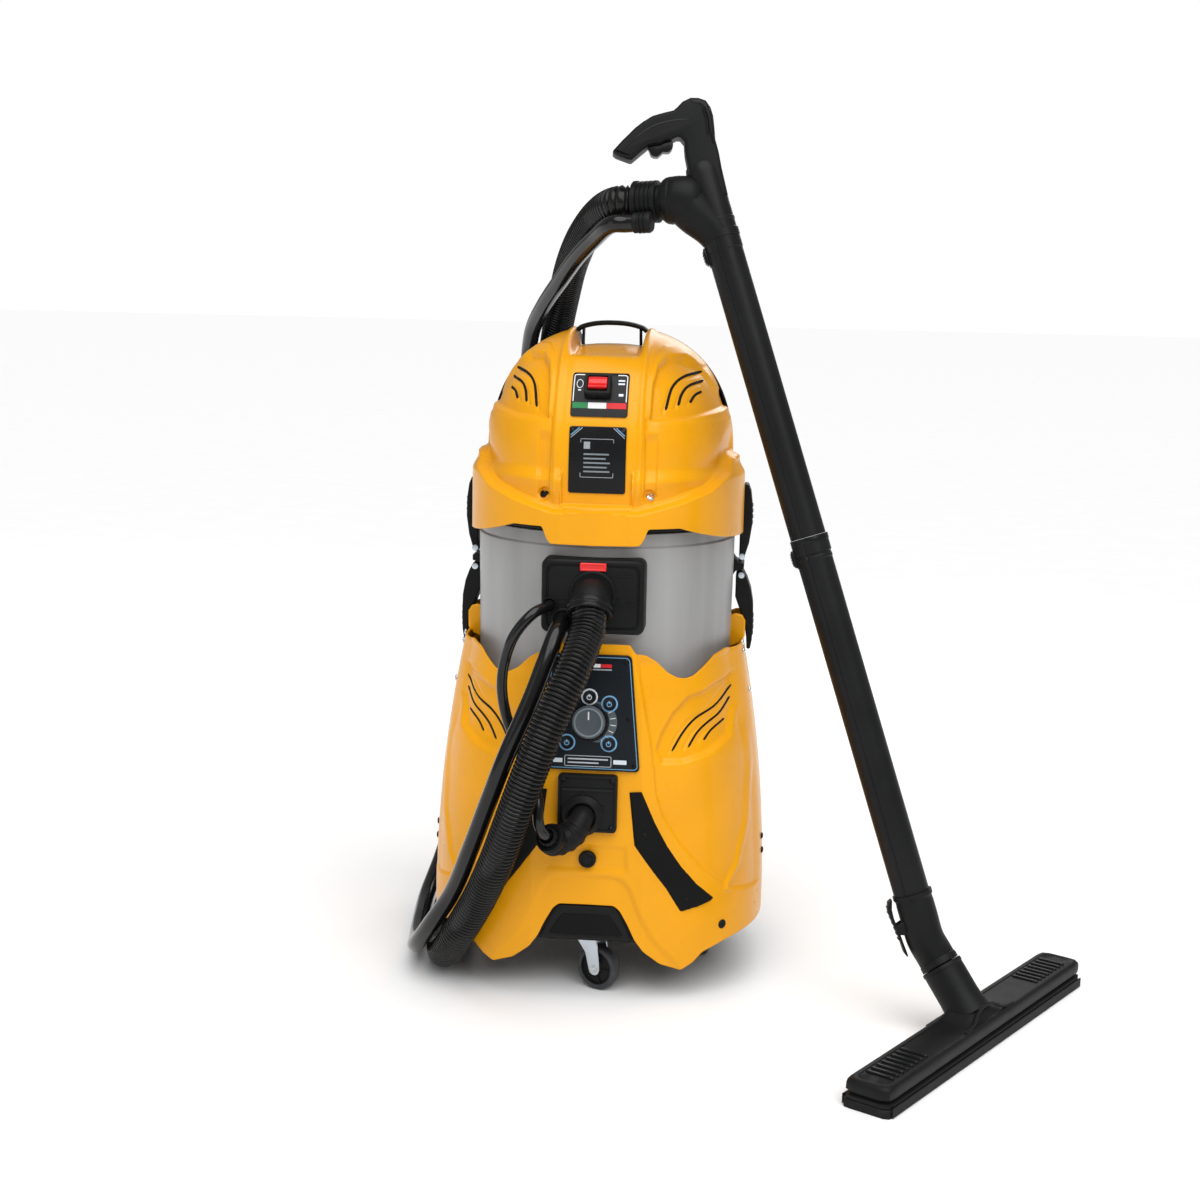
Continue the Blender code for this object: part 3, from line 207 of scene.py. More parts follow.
def milky():
    """The recovery tank's translucent grey plastic, with faint upright streaks."""
    made, tree, shader = shader_of("milky_plastic")
    new, link = tree.nodes.new, tree.links.new
    place = new("ShaderNodeTexCoord")
    stretch = new("ShaderNodeMapping")
    stretch.inputs["Scale"].default_value = (14.0, 14.0, 1.2)
    streaks = new("ShaderNodeTexNoise")
    streaks.inputs["Scale"].default_value = 1.0
    streaks.inputs["Detail"].default_value = 4.0
    tones = new("ShaderNodeValToRGB")
    tones.color_ramp.elements[0].position = 0.32
    tones.color_ramp.elements[1].position = 0.70
    tones.color_ramp.elements[0].color = (0.43, 0.43, 0.425, 1)
    tones.color_ramp.elements[1].color = (0.61, 0.61, 0.61, 1)
    link(place.outputs["Object"], stretch.inputs["Vector"])
    link(stretch.outputs["Vector"], streaks.inputs["Vector"])
    link(streaks.outputs["Fac"], tones.inputs["Fac"])
    link(tones.outputs["Color"], shader.inputs["Base Color"])
    level = new("ShaderNodeMapRange")
    level.inputs["To Min"].default_value = 0.26
    level.inputs["To Max"].default_value = 0.44
    link(streaks.outputs["Fac"], level.inputs["Value"])
    link(level.outputs["Result"], shader.inputs["Roughness"])
    fine = new("ShaderNodeTexNoise")
    fine.inputs["Scale"].default_value = 120.0
    link(place.outputs["Object"], fine.inputs["Vector"])
    relief = new("ShaderNodeBump")
    relief.inputs["Strength"].default_value = 0.06
    relief.inputs["Distance"].default_value = 0.0006
    link(fine.outputs["Fac"], relief.inputs["Height"])
    link(relief.outputs["Normal"], shader.inputs["Normal"])
    shader.inputs["Transmission Weight"].default_value = 0.35
    shader.inputs["IOR"].default_value = 1.3
    return made


MILKY = milky()


# ---------------------------------------------------------------- building blocks
def piece(name, verts, faces, finish, body="machine", slot=None, smooth=32.0, place=AXIS, replaces=()):
    """A mesh object that rides on a CAD body; its vertices are moved by place."""
    mesh = bpy.data.meshes.new(name)
    mesh.from_pydata([tuple(Vector(v) + place) for v in verts], [], [tuple(f) for f in faces])
    work = bmesh.new()
    work.from_mesh(mesh)
    bmesh.ops.remove_doubles(work, verts=work.verts, dist=1e-6)
    bmesh.ops.recalc_face_normals(work, faces=work.faces)
    work.to_mesh(mesh)
    work.free()
    mesh.materials.append(finish)
    mesh.shade_smooth()
    mesh.set_sharp_from_angle(angle=math.radians(smooth))
    obj = bpy.data.objects.new(name, mesh)
    scene.collection.objects.link(obj)
    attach(obj, body)
    slot or SLOTS.get(finish.name.split(".")[0], "grey_plastic")
    if replaces:
        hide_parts(*replaces)
    return obj


def rounding(obj, width, segments=3, angle=35.0):
    bevel = obj.modifiers.new("rounding", "BEVEL")
    bevel.width = width
    bevel.segments = segments
    bevel.limit_method = "ANGLE"
    bevel.angle_limit = math.radians(angle)
    return obj


def prism(outline, low, high, plane="xy"):
    count = len(outline)
    verts = []
    for level in (low, high):
        for a, b in outline:
            verts.append({"xy": (a, b, level), "xz": (a, level, b), "yz": (level, a, b)}[plane])
    faces = [tuple(reversed(range(count))), tuple(range(count, 2 * count))]
    for i in range(count):
        j = (i + 1) % count
        faces.append((i, j, count + j, count + i))
    return verts, faces


def block(size, centre=(0, 0, 0)):
    x, y, z = (s / 2 for s in size)
    verts, faces = prism([(-x, -y), (x, -y), (x, y), (-x, y)], -z, z)
    return [(v[0] + centre[0], v[1] + centre[1], v[2] + centre[2]) for v in verts], faces


def turned(profile, segments, axis=(0, 0, 1), place=(0, 0, 0), closed=False, wave=None):
    """A profile of (radius, height) turned about an axis; wave(angle) scales the radius."""
    turn = Vector((0, 0, 1)).rotation_difference(Vector(axis)).to_matrix()
    place = Vector(place)
    verts, faces, rings = [], [], []
    for radius, height in profile:
        if radius < 1e-7:
            rings.append([len(verts)])
            verts.append(tuple(turn @ Vector((0, 0, height)) + place))
            continue
        ring = []
        for i in range(segments):
            a = 2 * math.pi * i / segments
            r = radius * (wave(a, height) if wave else 1.0)
            ring.append(len(verts))
            verts.append(tuple(turn @ Vector((r * math.cos(a), r * math.sin(a), height)) + place))
        rings.append(ring)
    pairs = list(zip(rings, rings[1:]))
    if closed:
        pairs.append((rings[-1], rings[0]))
    for low, high in pairs:
        for i in range(segments):
            j = (i + 1) % segments
            if len(low) == 1:
                faces.append((low[0], high[i], high[j]))
            elif len(high) == 1:
                faces.append((low[i], high[0], low[j]))
            else:
                faces.append((low[i], low[j], high[j], high[i]))
    return verts, faces


def swept(path, radii, segments, flat=1.0, first=None):
    """A closed body with a round or flattened section along a path."""
    path = [Vector(p) for p in path]
    verts, rings = [], []
    normal = Vector(first).normalized() if first else None
    for i, point in enumerate(path):
        ahead = (path[min(i + 1, len(path) - 1)] - path[max(i - 1, 0)]).normalized()
        if normal is None:
            normal = ahead.orthogonal().normalized()
        normal = (normal - ahead * normal.dot(ahead)).normalized()
        other = ahead.cross(normal)
        ring = []
        for j in range(segments):
            a = 2 * math.pi * j / segments
            ring.append(len(verts))
            verts.append(tuple(point + (normal * math.cos(a) + other * math.sin(a) * flat) * radii[i]))
        rings.append(ring)
    faces = [tuple(reversed(rings[0])), tuple(rings[-1])]
    for low, high in zip(rings, rings[1:]):
        for j in range(segments):
            k = (j + 1) % segments
            faces.append((low[j], low[k], high[k], high[j]))
    return verts, faces


def arc_path(points, count, leg=0.0):
    """A smooth Catmull-Rom curve through points, read at even steps of length."""
    points = [Vector(p) for p in points]
    padded = [points[0] * 2 - points[1], *points, points[-1] * 2 - points[-2]]
    fine = []
    for i in range(1, len(padded) - 2):
        a, b, c, d = padded[i - 1:i + 3]
        for step in range(24):
            t = step / 24
            fine.append(0.5 * ((2 * b) + (c - a) * t + (2 * a - 5 * b + 4 * c - d) * t * t
                               + (3 * b - a - 3 * c + d) * t ** 3))
    fine.append(points[-1])
    lengths = np.concatenate([[0], np.cumsum([(q - p).length for p, q in zip(fine, fine[1:])])])
    wanted = np.linspace(2 * leg, lengths[-1] - 2 * leg, count)
    table = np.array([tuple(p) for p in fine])
    middle = [Vector([float(np.interp(w, lengths, table[:, k])) for k in range(3)]) for w in wanted]
    if not leg:
        return middle
    start = (points[1] - points[0]).normalized() * leg
    end = (points[-2] - points[-1]).normalized() * leg
    return [points[0], points[0] + start, *middle, points[-1] + end, points[-1]]


def resample(points, count):
    """Evenly spaced points along a polyline in the plane."""
    table = np.array(points, float)
    steps = np.concatenate([[0], np.cumsum(np.hypot(*np.diff(table, axis=0).T))])
    wanted = np.linspace(0, steps[-1], count)
    return np.stack([np.interp(wanted, steps, table[:, k]) for k in (0, 1)], axis=1)


def smooth_line(points, count):
    """A Catmull-Rom curve through points of the plane, evenly spaced."""
    return [(p.x, p.y) for p in arc_path([(a, b, 0) for a, b in points], count)]


def ease(value):
    value = np.clip(value, 0.0, 1.0)
    return value * value * (3 - 2 * value)


def away(x, z, points):
    """Distance of each place from a polyline of (x, z) points."""
    best = np.full(np.shape(x), 1e9)
    for (ax, az), (bx, bz) in zip(points, points[1:]):
        dx, dz = bx - ax, bz - az
        t = np.clip(((x - ax) * dx + (z - az) * dz) / max(dx * dx + dz * dz, 1e-12), 0, 1)
        best = np.minimum(best, np.hypot(x - ax - t * dx, z - az - t * dz))
    return best


def depth_in(x, z, polygon):
    """Signed distance from a polygon's edge, positive inside."""
    loop = list(polygon) + [polygon[0]]
    distance = away(x, z, loop)
    inside = np.zeros(np.shape(x), bool)
    for (ax, az), (bx, bz) in zip(loop, loop[1:]):
        crosses = (az > z) != (bz > z)
        slope = (bx - ax) * (z - az) / np.where(abs(bz - az) < 1e-12, 1e-12, bz - az) + ax
        inside ^= crosses & (x < slope)
    return np.where(inside, distance, -distance)


def area(x, z, polygon, soft):
    """1 inside a polygon, 0 outside, with an edge that is soft wide."""
    return ease(depth_in(x, z, polygon) / soft + 0.5)


def rib(x, z, points, half):
    """1 on a polyline, falling to 0 at half away from it."""
    return ease(1 - away(x, z, points) / half)


def rounded_knots(value, table, radius):
    """Straight-line interpolation in a table, with its corners rounded off."""
    places, heights = zip(*table)
    offsets = np.linspace(-radius, radius, 9)
    weights = np.cos(offsets / radius * math.pi / 2)
    total = sum(w * np.interp(value + o, places, heights) for o, w in zip(offsets, weights))
    return total / weights.sum()


class Skin:
    """A grid of surface points with their normals, to build on and to land things on."""

    def __init__(self, points, outward):
        self.points = points
        along = np.gradient(points, axis=0)
        across = np.gradient(points, axis=1)
        normals = np.cross(along, across)
        lengths = np.linalg.norm(normals, axis=2, keepdims=True)
        normals = normals / np.maximum(lengths, 1e-12)
        if np.mean(np.sum(normals * outward(points), axis=2)) < 0:
            normals = -normals
        self.normals = normals

    def raised(self, relief):
        return self.points + self.normals * relief[..., None]

    def at(self, x, z, lift=0.0):
        """The surface point nearest to (x, z) seen from the front or rear, and its normal."""
        gap = np.hypot(self.points[..., 0] - x, self.points[..., 2] - z)
        near = np.argsort(gap, axis=None)[:6]
        weight = 1 / (gap.ravel()[near] + 1e-5)
        weight = weight / weight.sum()
        points = self.points.reshape(-1, 3)[near]
        slopes = self.normals.reshape(-1, 3)[near]
        y = float((points[:, 1] * weight).sum())
        normal = Vector((slopes * weight[:, None]).sum(axis=0)).normalized()
        return Vector((x, y, z)) + normal * lift, normal


def grid_faces(rows, columns):
    index = np.arange(rows * columns).reshape(rows, columns)
    quads = np.stack([index[:-1, :-1], index[1:, :-1], index[1:, 1:], index[:-1, 1:]], axis=-1)
    return quads.reshape(-1, 4).tolist()


def shell_piece(name, points, finish, body="machine", slot=None, replaces=(), thickness=0.003):
    """A moulded skin of one thickness."""
    rows, columns = points.shape[:2]
    obj = piece(name, points.reshape(-1, 3).tolist(), grid_faces(rows, columns), finish, body, slot,
                smooth=50.0, replaces=replaces)
    wall = obj.modifiers.new("wall", "SOLIDIFY")
    wall.thickness = thickness
    wall.offset = -1.0
    return obj


def outward_from(centre_y):
    def direction(points):
        return np.stack([points[..., 0], points[..., 1] - centre_y, 0.02 + 0 * points[..., 2]], axis=-1)
    return direction


def strip(name, skin, line, half, thick, finish, body="machine", slot=None, sink=0.0):
    """A narrow band that lies on a skin along a line of (x, z) places."""
    line = resample(line, max(8, int(len(line) * 3)))
    verts, faces = [], []
    count = len(line)
    for i, (x, z) in enumerate(line):
        ahead = line[min(i + 1, count - 1)] - line[max(i - 1, 0)]
        ahead = ahead / max(np.hypot(*ahead), 1e-9)
        taper = min(1.0, 0.35 + 0.65 * min(i, count - 1 - i) / 1.5)
        for side, lift in ((-1, -sink), (-1, thick), (1, thick), (1, -sink)):
            px = x - ahead[1] * side * half * taper
            pz = z + ahead[0] * side * half * taper
            place, normal = skin.at(px, pz)
            verts.append(tuple(place + normal * lift))
    for i in range(count - 1):
        for j in range(4):
            k = (j + 1) % 4
            faces.append((4 * i + j, 4 * i + k, 4 * i + 4 + k, 4 * i + 4 + j))
    faces.append((0, 1, 2, 3))
    faces.append(tuple(4 * (count - 1) + j for j in (3, 2, 1, 0)))
    return piece(name, verts, faces, finish, body, slot)


def mirrored(points):
    return [(-x, z) for x, z in points]


# ---------------------------------------------------------------- hoses
def vector(*values):
    return Vector(values)


FLANGE_OUT = Vector((-0.02, -0.62, -0.78)).normalized()
PLATE_FRONT = 0.195
INLET_Z = 0.543
COLLAR_CENTRE = vector(0.0, -PLATE_FRONT - 0.016, INLET_Z)
HOSE_START = COLLAR_CENTRE + FLANGE_OUT * (0.028 - 0.010) + FLANGE_OUT * 0.0003
WAND_TOP = vector(0.148, -0.109, 0.9915)
WAND_FOOT = vector(0.418, -0.229, 0.179)
WAND_FACING = vector(0.0858, -0.981, 0.1736)
wand_up = (WAND_TOP - WAND_FOOT).normalized()
wand_back = (-WAND_FACING - wand_up * (-WAND_FACING).dot(wand_up)).normalized()
wand_right = wand_back.cross(wand_up)
BULGE = (-0.0337, 0.0615)


def wand_point(right_by, up_by, back_by=0.0):
    return WAND_TOP + wand_right * right_by + wand_back * back_by + wand_up * up_by


CUFF_OUT = (wand_right * -0.90 + wand_up * 0.27 + wand_back * 0.33).normalized()
SWIVEL_CENTRE = wand_point(*BULGE)
CUFF_START = SWIVEL_CENTRE + CUFF_OUT * 0.0265
HOSE_END = CUFF_START + CUFF_OUT * 0.0278
cuff_side = Vector((0.0, -0.78, -0.62))
cuff_side = (cuff_side - CUFF_OUT * cuff_side.dot(CUFF_OUT)).normalized()
UNION_START = CUFF_START + CUFF_OUT * 0.006 + cuff_side * 0.0415
UNION_FACE = UNION_START + CUFF_OUT * 0.024
CONNECTOR_MOUTH = vector(-0.042, -0.262, 0.238)
mouth_out = Vector((-0.35, -0.80, 0.49)).normalized()

VACUUM_ROUTE = [
    tuple(HOSE_START),
    tuple(HOSE_START + FLANGE_OUT * 0.030),
    (-0.014, -0.279, 0.462),
    (-0.036, -0.301, 0.410),
    (-0.060, -0.307, 0.345),
    (-0.083, -0.300, 0.280),
    (-0.108, -0.278, 0.210),
    (-0.136, -0.240, 0.145),
    (-0.170, -0.203, 0.082),
    (-0.196, -0.148, 0.038),
    (-0.212, -0.072, 0.0242),
    (-0.2225, 0.012, 0.0242),
    (-0.229, 0.098, 0.027),
    (-0.227, 0.170, 0.052),
    (-0.216, 0.228, 0.110),
    (-0.197, 0.260, 0.200),
    (-0.172, 0.274, 0.320),
    (-0.152, 0.272, 0.450),
    (-0.136, 0.262, 0.580),
    (-0.121, 0.246, 0.700),
    (-0.106, 0.222, 0.805),
    (-0.096, 0.193, 0.862),
    (-0.083, 0.151, 0.908),
    (-0.066, 0.092, 0.955),
    (-0.044, 0.027, 0.992),
    (-0.018, -0.030, 1.020),
    tuple(HOSE_END + CUFF_OUT * 0.036),
    tuple(HOSE_END),
]
STEAM_ROUTE = [
    (-0.038, -0.1954, 0.508),
    (-0.038, -0.2094, 0.508),
    (-0.044, -0.247, 0.489),
    (-0.068, -0.272, 0.418),
    (-0.096, -0.280, 0.350),
    (-0.121, -0.274, 0.282),
    (-0.147, -0.252, 0.212),
    (-0.176, -0.215, 0.142),
    (-0.212, -0.182, 0.083),
    (-0.237, -0.137, 0.042),
    (-0.250, -0.066, 0.0225),
    (-0.2605, 0.018, 0.0225),
    (-0.267, 0.104, 0.030),
    (-0.260, 0.190, 0.064),
    (-0.248, 0.250, 0.122),
    (-0.230, 0.282, 0.208),
    (-0.206, 0.297, 0.325),
    (-0.188, 0.294, 0.452),
    (-0.172, 0.284, 0.582),
    (-0.157, 0.268, 0.702),
    (-0.142, 0.222, 0.812),
    (-0.129, 0.170, 0.862),
    (-0.104, 0.104, 0.900),
    (-0.074, 0.038, 0.935),
    (-0.046, -0.020, 0.966),
    (-0.018, -0.070, 0.990),
    tuple(UNION_FACE + CUFF_OUT * 0.030),
    tuple(UNION_FACE + CUFF_OUT * 0.0003),
]
BRANCH_ROUTE = [
    (-0.055, -0.1954, 0.527),
    (-0.055, -0.2074, 0.527),
    (-0.072, -0.2310, 0.5210),
    (-0.094, -0.238, 0.494),
    (-0.107, -0.232, 0.458),
    (-0.110, -0.233, 0.425),
    (-0.104, -0.235, 0.390),
    (-0.088, -0.243, 0.352),
    (-0.070, -0.257, 0.320),
    (-0.0575, -0.274, 0.291),
    tuple(CONNECTOR_MOUTH + mouth_out * 0.030 + Vector((-0.002, 0.004, 0.009))),
    tuple(CONNECTOR_MOUTH + mouth_out * 0.012),
    tuple(CONNECTOR_MOUTH - mouth_out * 0.010),
]
HOSE_LEG = 0.012


def route_length(route):
    rough = arc_path(route, 200)
    return sum((b - a).length for a, b in zip(rough, rough[1:]))


def hose(name, node, route, radius_at, step, segments, finish):
    """A hose as one tube; radius_at(distance, length) gives its radius along its line."""
    length = route_length(route)
    line = arc_path(route, int(length / 0.006), HOSE_LEG)
    spans = np.concatenate([[0], np.cumsum([(b - a).length for a, b in zip(line, line[1:])])])
    table = np.array([tuple(p) for p in line])
    count = int(spans[-1] / step) + 1
    wanted = np.linspace(0, spans[-1], count)
    dense = [Vector([float(np.interp(w, spans, table[:, k])) for k in range(3)]) for w in wanted]
    verts, faces = swept(dense, [radius_at(w, spans[-1]) for w in wanted], segments)
    obj = piece(name, verts, faces, finish, "machine", "black_rubber", smooth=60.0, replaces=(node,))
    path = [p + AXIS for p in line[::2]] + ([line[-1] + AXIS] if len(line) % 2 == 0 else [])
    return obj


RIDGE_PITCH = 0.0056


def corrugated(distance, length):
    """Round-topped ridges with narrow grooves between them, and plain ends."""
    wave = 0.5 + 0.5 * math.cos(2 * math.pi * distance / RIDGE_PITCH)
    return 0.0226 - 0.0024 * (1 - wave) ** 1.6


hose("ribbed_hose", "vacuum_hose", VACUUM_ROUTE, corrugated, RIDGE_PITCH / 6, 28, HOSE_BLACK)
hose("smooth_hose", "steam_hose", STEAM_ROUTE, lambda d, l: 0.0115, 0.006, 20, HOSE_SMOOTH)
hose("thin_hose", "branch_hose", BRANCH_ROUTE, lambda d, l: 0.0070, 0.003, 18, HOSE_SMOOTH)


# ---------------------------------------------------------------- head
HEAD_POWER = 2.3
HEAD_PROFILE = 2.4
HEAD_CENTRE_Y = 0.030
SHOULDER = 0.690
HEAD_TOP = 0.875
HEAD_HALF = 0.168
HEAD_FRONT = 0.205
HEAD_BACK = 0.145
CHANNEL_HALF = 0.0455
SKIRT_FRONT = [(0.0, 0.6035), (0.0540, 0.6045), (0.0595, 0.612), (0.0640, 0.6262), (0.1010, 0.6262),
               (0.1240, 0.6178), (0.1520, 0.6085), (0.176, 0.6022)]
LEDGE = [(0.050, 0.6490), (0.070, 0.654), (0.097, 0.662), (0.131, 0.675), (0.153, 0.694), (0.1615, 0.7125),
         (0.168, 0.7125)]
BROW_OUTER = [(0.150, 0.787), (0.134, 0.815), (0.110, 0.840), (0.090, 0.852), (0.076, 0.852),
              (0.066, 0.842), (0.0612, 0.820), (0.0600, 0.790), (0.0605, 0.765)]
BROW_INNER = [(0.150, 0.796), (0.1275, 0.8235), (0.1012, 0.838), (0.081, 0.8385), (0.0715, 0.828),
              (0.0672, 0.804), (0.0665, 0.770)]
VENT_FLOOR = [(0.0665, 0.763), (0.089, 0.7635), (0.1135, 0.764), (0.134, 0.768), (0.157, 0.7715)]
HEAD_SLOTS = [
    [(0.1240, 0.8190), (0.1025, 0.8145), (0.0895, 0.8018), (0.0830, 0.7740)],
    [(0.1268, 0.8078), (0.1098, 0.8032), (0.1015, 0.7927), (0.0984, 0.7793)],
    [(0.1258, 0.7950), (0.1180, 0.7910), (0.1125, 0.7822)],
]
SCREW_SPOT = (0.0682, 0.6655)


def head_channel_face(z, share):
    out = 0.0145 * ease((0.655 - z) / 0.006)
    return HEAD_FRONT * share - HEAD_CENTRE_Y - 0.004 * ease((z - 0.6475) / 0.003) + out


def head_skin(front, columns=420, skirt_rows=80, dome_rows=150):
    """The head's outer surface, without its relief."""
    turns = np.linspace(-math.pi / 2, math.pi / 2, columns)[None, :]
    across = np.sign(turns) * np.abs(np.sin(turns)) ** (2 / HEAD_POWER)
    rise = np.abs(np.cos(turns)) ** (2 / HEAD_POWER)
    if front:
        low = rounded_knots(np.abs(across) * 0.176, SKIRT_FRONT, 0.003)
    else:
        low = np.full_like(across, 0.604)
    steps = np.linspace(0, 1, skirt_rows)[:, None]
    skirt_z = low + (SHOULDER - low) * steps
    lifts = np.linspace(0, math.pi / 2, dome_rows + 1)[1:, None]
    dome_z = SHOULDER + (HEAD_TOP - SHOULDER) * np.sin(lifts) ** (2 / HEAD_PROFILE) + 0 * across
    z = np.concatenate([skirt_z, dome_z])
    share = np.concatenate([np.ones_like(skirt_z), np.cos(lifts) ** (2 / HEAD_PROFILE) + 0 * across])
    share = np.maximum(share, 0.0004)
    out = 0.008 * ease((SHOULDER + 0.012 - z) / 0.02) + 0 * across
    depth = HEAD_FRONT if front else HEAD_BACK
    if front:
        side_y = HEAD_CENTRE_Y - rise * HEAD_FRONT
        reach = ease((0.012 - side_y) / 0.010)
        ledge = rounded_knots(np.abs(across) * HEAD_HALF, LEDGE, 0.004)
        drop = (ledge - z) / 0.0060
        out = out + (0.0185 * reach - 0.008 * reach) * ease(drop) + 0 * z
        out = out - 0.0040 * reach * ease((z - ledge) / 0.004) * ease((ledge + 0.035 - z) / 0.03)
    grow = np.minimum(1.0, share * 4)
    x = across * (HEAD_HALF * share + out * grow)
    y = HEAD_CENTRE_Y + (-1 if front else 1) * rise * (depth * share + out * grow)
    if front:
        side = ease((np.abs(x) - CHANNEL_HALF + 0.002) / 0.006)
        limit = -(head_channel_face(z, share) + 0.024 * side)
        y = np.maximum(y, limit)
    drop = 0.024 * ease((z - 0.835) / 0.035) * (1 - ease((np.abs(x) - CHANNEL_HALF + 0.004) / 0.009))
    return np.stack([x, y, z - drop], axis=-1)


def head_relief(x, z):
    """Ridges, brows, vents and screw channels of the front, in metres, for x of either side."""
    x = np.abs(x)
    relief = 0.0032 * np.exp(-((x - 0.0535) / 0.0042) ** 2) * ease((z - 0.652) / 0.02)
    relief -= (0.0022 * np.exp(-((x - 0.0612) / 0.0016) ** 2) * ease((z - 0.70) / 0.05)
               * ease((0.80 - z) / 0.05))
    recess = [*BROW_INNER, *VENT_FLOOR, (0.172, 0.772), (0.172, 0.792)]
    inside = area(x, z, recess, 0.007)
    relief -= 0.0062 * inside
    band = area(x, z, [*BROW_OUTER, (0.063, 0.765), *reversed(BROW_INNER)], 0.005)
    relief += 0.0028 * band
    lower = ease((0.762 - z) / 0.006) * ease((x - 0.066) / 0.010) * ease((z - 0.69) / 0.06)
    relief += 0.0012 * lower
    screw = area(x, z, [(0.0615, 0.664), (0.0615, 0.745), (0.0768, 0.745), (0.0768, 0.664)], 0.0028)
    relief -= 0.0042 * screw * ease((0.749 - z) / 0.016)
    pocket = ease(1 - (np.hypot(x - SCREW_SPOT[0], z - SCREW_SPOT[1]) - 0.0072) / 0.002)
    relief -= 0.0040 * pocket
    frame_line = away(x, z, [(0.0, 0.6490), (0.0440, 0.6490), (0.0475, 0.6520), (0.0475, 0.700)])
    relief -= 0.0012 * ease(1 - frame_line / 0.0018)
    for slot in HEAD_SLOTS:
        relief -= 0.0012 * rib(x, z, slot, 0.0035)
    return relief


def head_rear_relief(x, z):
    relief = 0.0 * x
    for row in range(7):
        line = [(-0.085, 0.715 + 0.016 * row), (0.085, 0.715 + 0.016 * row)]
        relief = relief - 0.0028 * rib(x, z, line, 0.0042)
    relief = relief + 0.0020 * rib(x, z, [(-0.2, 0.668), (0.2, 0.668)], 0.006)
    relief = relief - 0.0012 * rib(x, z, [(-0.2, 0.640), (0.2, 0.640)], 0.0025)
    return relief


plain_head = head_skin(True)
head_outer = Skin(plain_head, outward_from(HEAD_CENTRE_Y))
head_fade = ease((head_outer.points[..., 2] - 0.608) / 0.01)
head_points = head_outer.raised(head_relief(plain_head[..., 0], plain_head[..., 2]) * head_fade)
head_front = Skin(head_points, outward_from(HEAD_CENTRE_Y))
shell_piece("head_shell", head_points, YELLOW, "head", replaces=("head_cover",))

plain_rear = head_skin(False, columns=240, skirt_rows=40, dome_rows=110)
rear_outer = Skin(plain_rear, outward_from(HEAD_CENTRE_Y))
rear_points = rear_outer.raised(head_rear_relief(plain_rear[..., 0], plain_rear[..., 2]))
rear_points[..., 1] = np.maximum(rear_points[..., 1], HEAD_CENTRE_Y + 0.0004)
shell_piece("head_rear_shell", rear_points, BLACK, "head", replaces=("head_rear_cover",))

# Painted shade: near-black ribbons laid in the head's vent grooves stand in for the shade inside the slot
# openings.
for number, slot_line in enumerate(HEAD_SLOTS, 1):
    curve = smooth_line(slot_line, 16)
    strip(f"head_slot_right_{number}", head_front, curve, 0.0017, 0.0004, SLOT_SHADE_PAINT, "head", sink=0.0006)
    strip(f"head_slot_left_{number}", head_front, mirrored(curve), 0.0017, 0.0004, SLOT_SHADE_PAINT, "head",
          sink=0.0006)


# ---------------------------------------------------------------- base
BASE_POWER = 2.5
FACE_FLAT = 0.005
BASE_TOP = [(0.0, 0.4765), (0.0500, 0.4765), (0.0575, 0.4645), (0.0710, 0.4630), (0.0860, 0.4545),
            (0.1000, 0.440), (0.1115, 0.4335), (0.1230, 0.4315), (0.1340, 0.4345), (0.1480, 0.4440),
            (0.1640, 0.4560), (0.178, 0.4600), (0.190, 0.4545)]
BASE_LOW = [(0.0, 0.1315), (0.0360, 0.1312), (0.0440, 0.1250), (0.0560, 0.1030), (0.0637, 0.0850),
            (0.0754, 0.0696), (0.0985, 0.0512), (0.1246, 0.0413), (0.1405, 0.0506), (0.153, 0.0640),
            (0.1817, 0.0745), (0.2072, 0.0790), (0.228, 0.0800)]
CREASE = [(0.0830, 0.318), (0.0868, 0.285), (0.0968, 0.2534), (0.1202, 0.2152), (0.1466, 0.1818),
          (0.1828, 0.1455)]
HOUSING = [(0.0560, 0.4900), (0.0560, 0.4720), (0.0600, 0.4440), (0.0690, 0.4060), (0.0800, 0.3489),
           (0.0850, 0.3060)]
OUTER_RIDGE = [(0.1860, 0.4530), (0.1940, 0.4130), (0.2010, 0.3700), (0.2085, 0.3005), (0.2075, 0.2264),
               (0.1965, 0.1719), (0.1828, 0.1455)]
SCOOP = [(0.1299, 0.4060), (0.1102, 0.3865), (0.0950, 0.3600), (0.0885, 0.3400), (0.0960, 0.3250),
         (0.1235, 0.3240), (0.1548, 0.3310), (0.1860, 0.3480), (0.1920, 0.3838), (0.1860, 0.4250),
         (0.1650, 0.4180), (0.1480, 0.4100)]
BASE_SLOTS = [
    [(0.1054, 0.3367), (0.1188, 0.3600), (0.1340, 0.3762), (0.1590, 0.3890), (0.1775, 0.4080)],
    [(0.1259, 0.3400), (0.1362, 0.3570), (0.1480, 0.3675), (0.1640, 0.3775), (0.1760, 0.3930)],
    [(0.1452, 0.3465), (0.1540, 0.3575), (0.1700, 0.3675)],
]
LOWER_FIELD = [(-0.0470, 0.1665), (-0.0300, 0.1725), (0.0300, 0.1725), (0.0470, 0.1665), (0.0560, 0.155),
               (0.0690, 0.1215), (0.0860, 0.0890), (0.1230, 0.0440), (0.1230, 0.0), (-0.1230, 0.0),
               (-0.1230, 0.0440), (-0.0860, 0.0890), (-0.0690, 0.1215), (-0.0560, 0.155)]


def base_half(z):
    return 0.228 - 0.285 * (z - 0.09) ** 2


def base_front(z):
    return 0.212 - 0.25 * (z - 0.2) ** 2


def base_face(z):
    return base_front(z) - FACE_FLAT


def base_rear(z):
    return 0.205 - 0.20 * (z - 0.2) ** 2


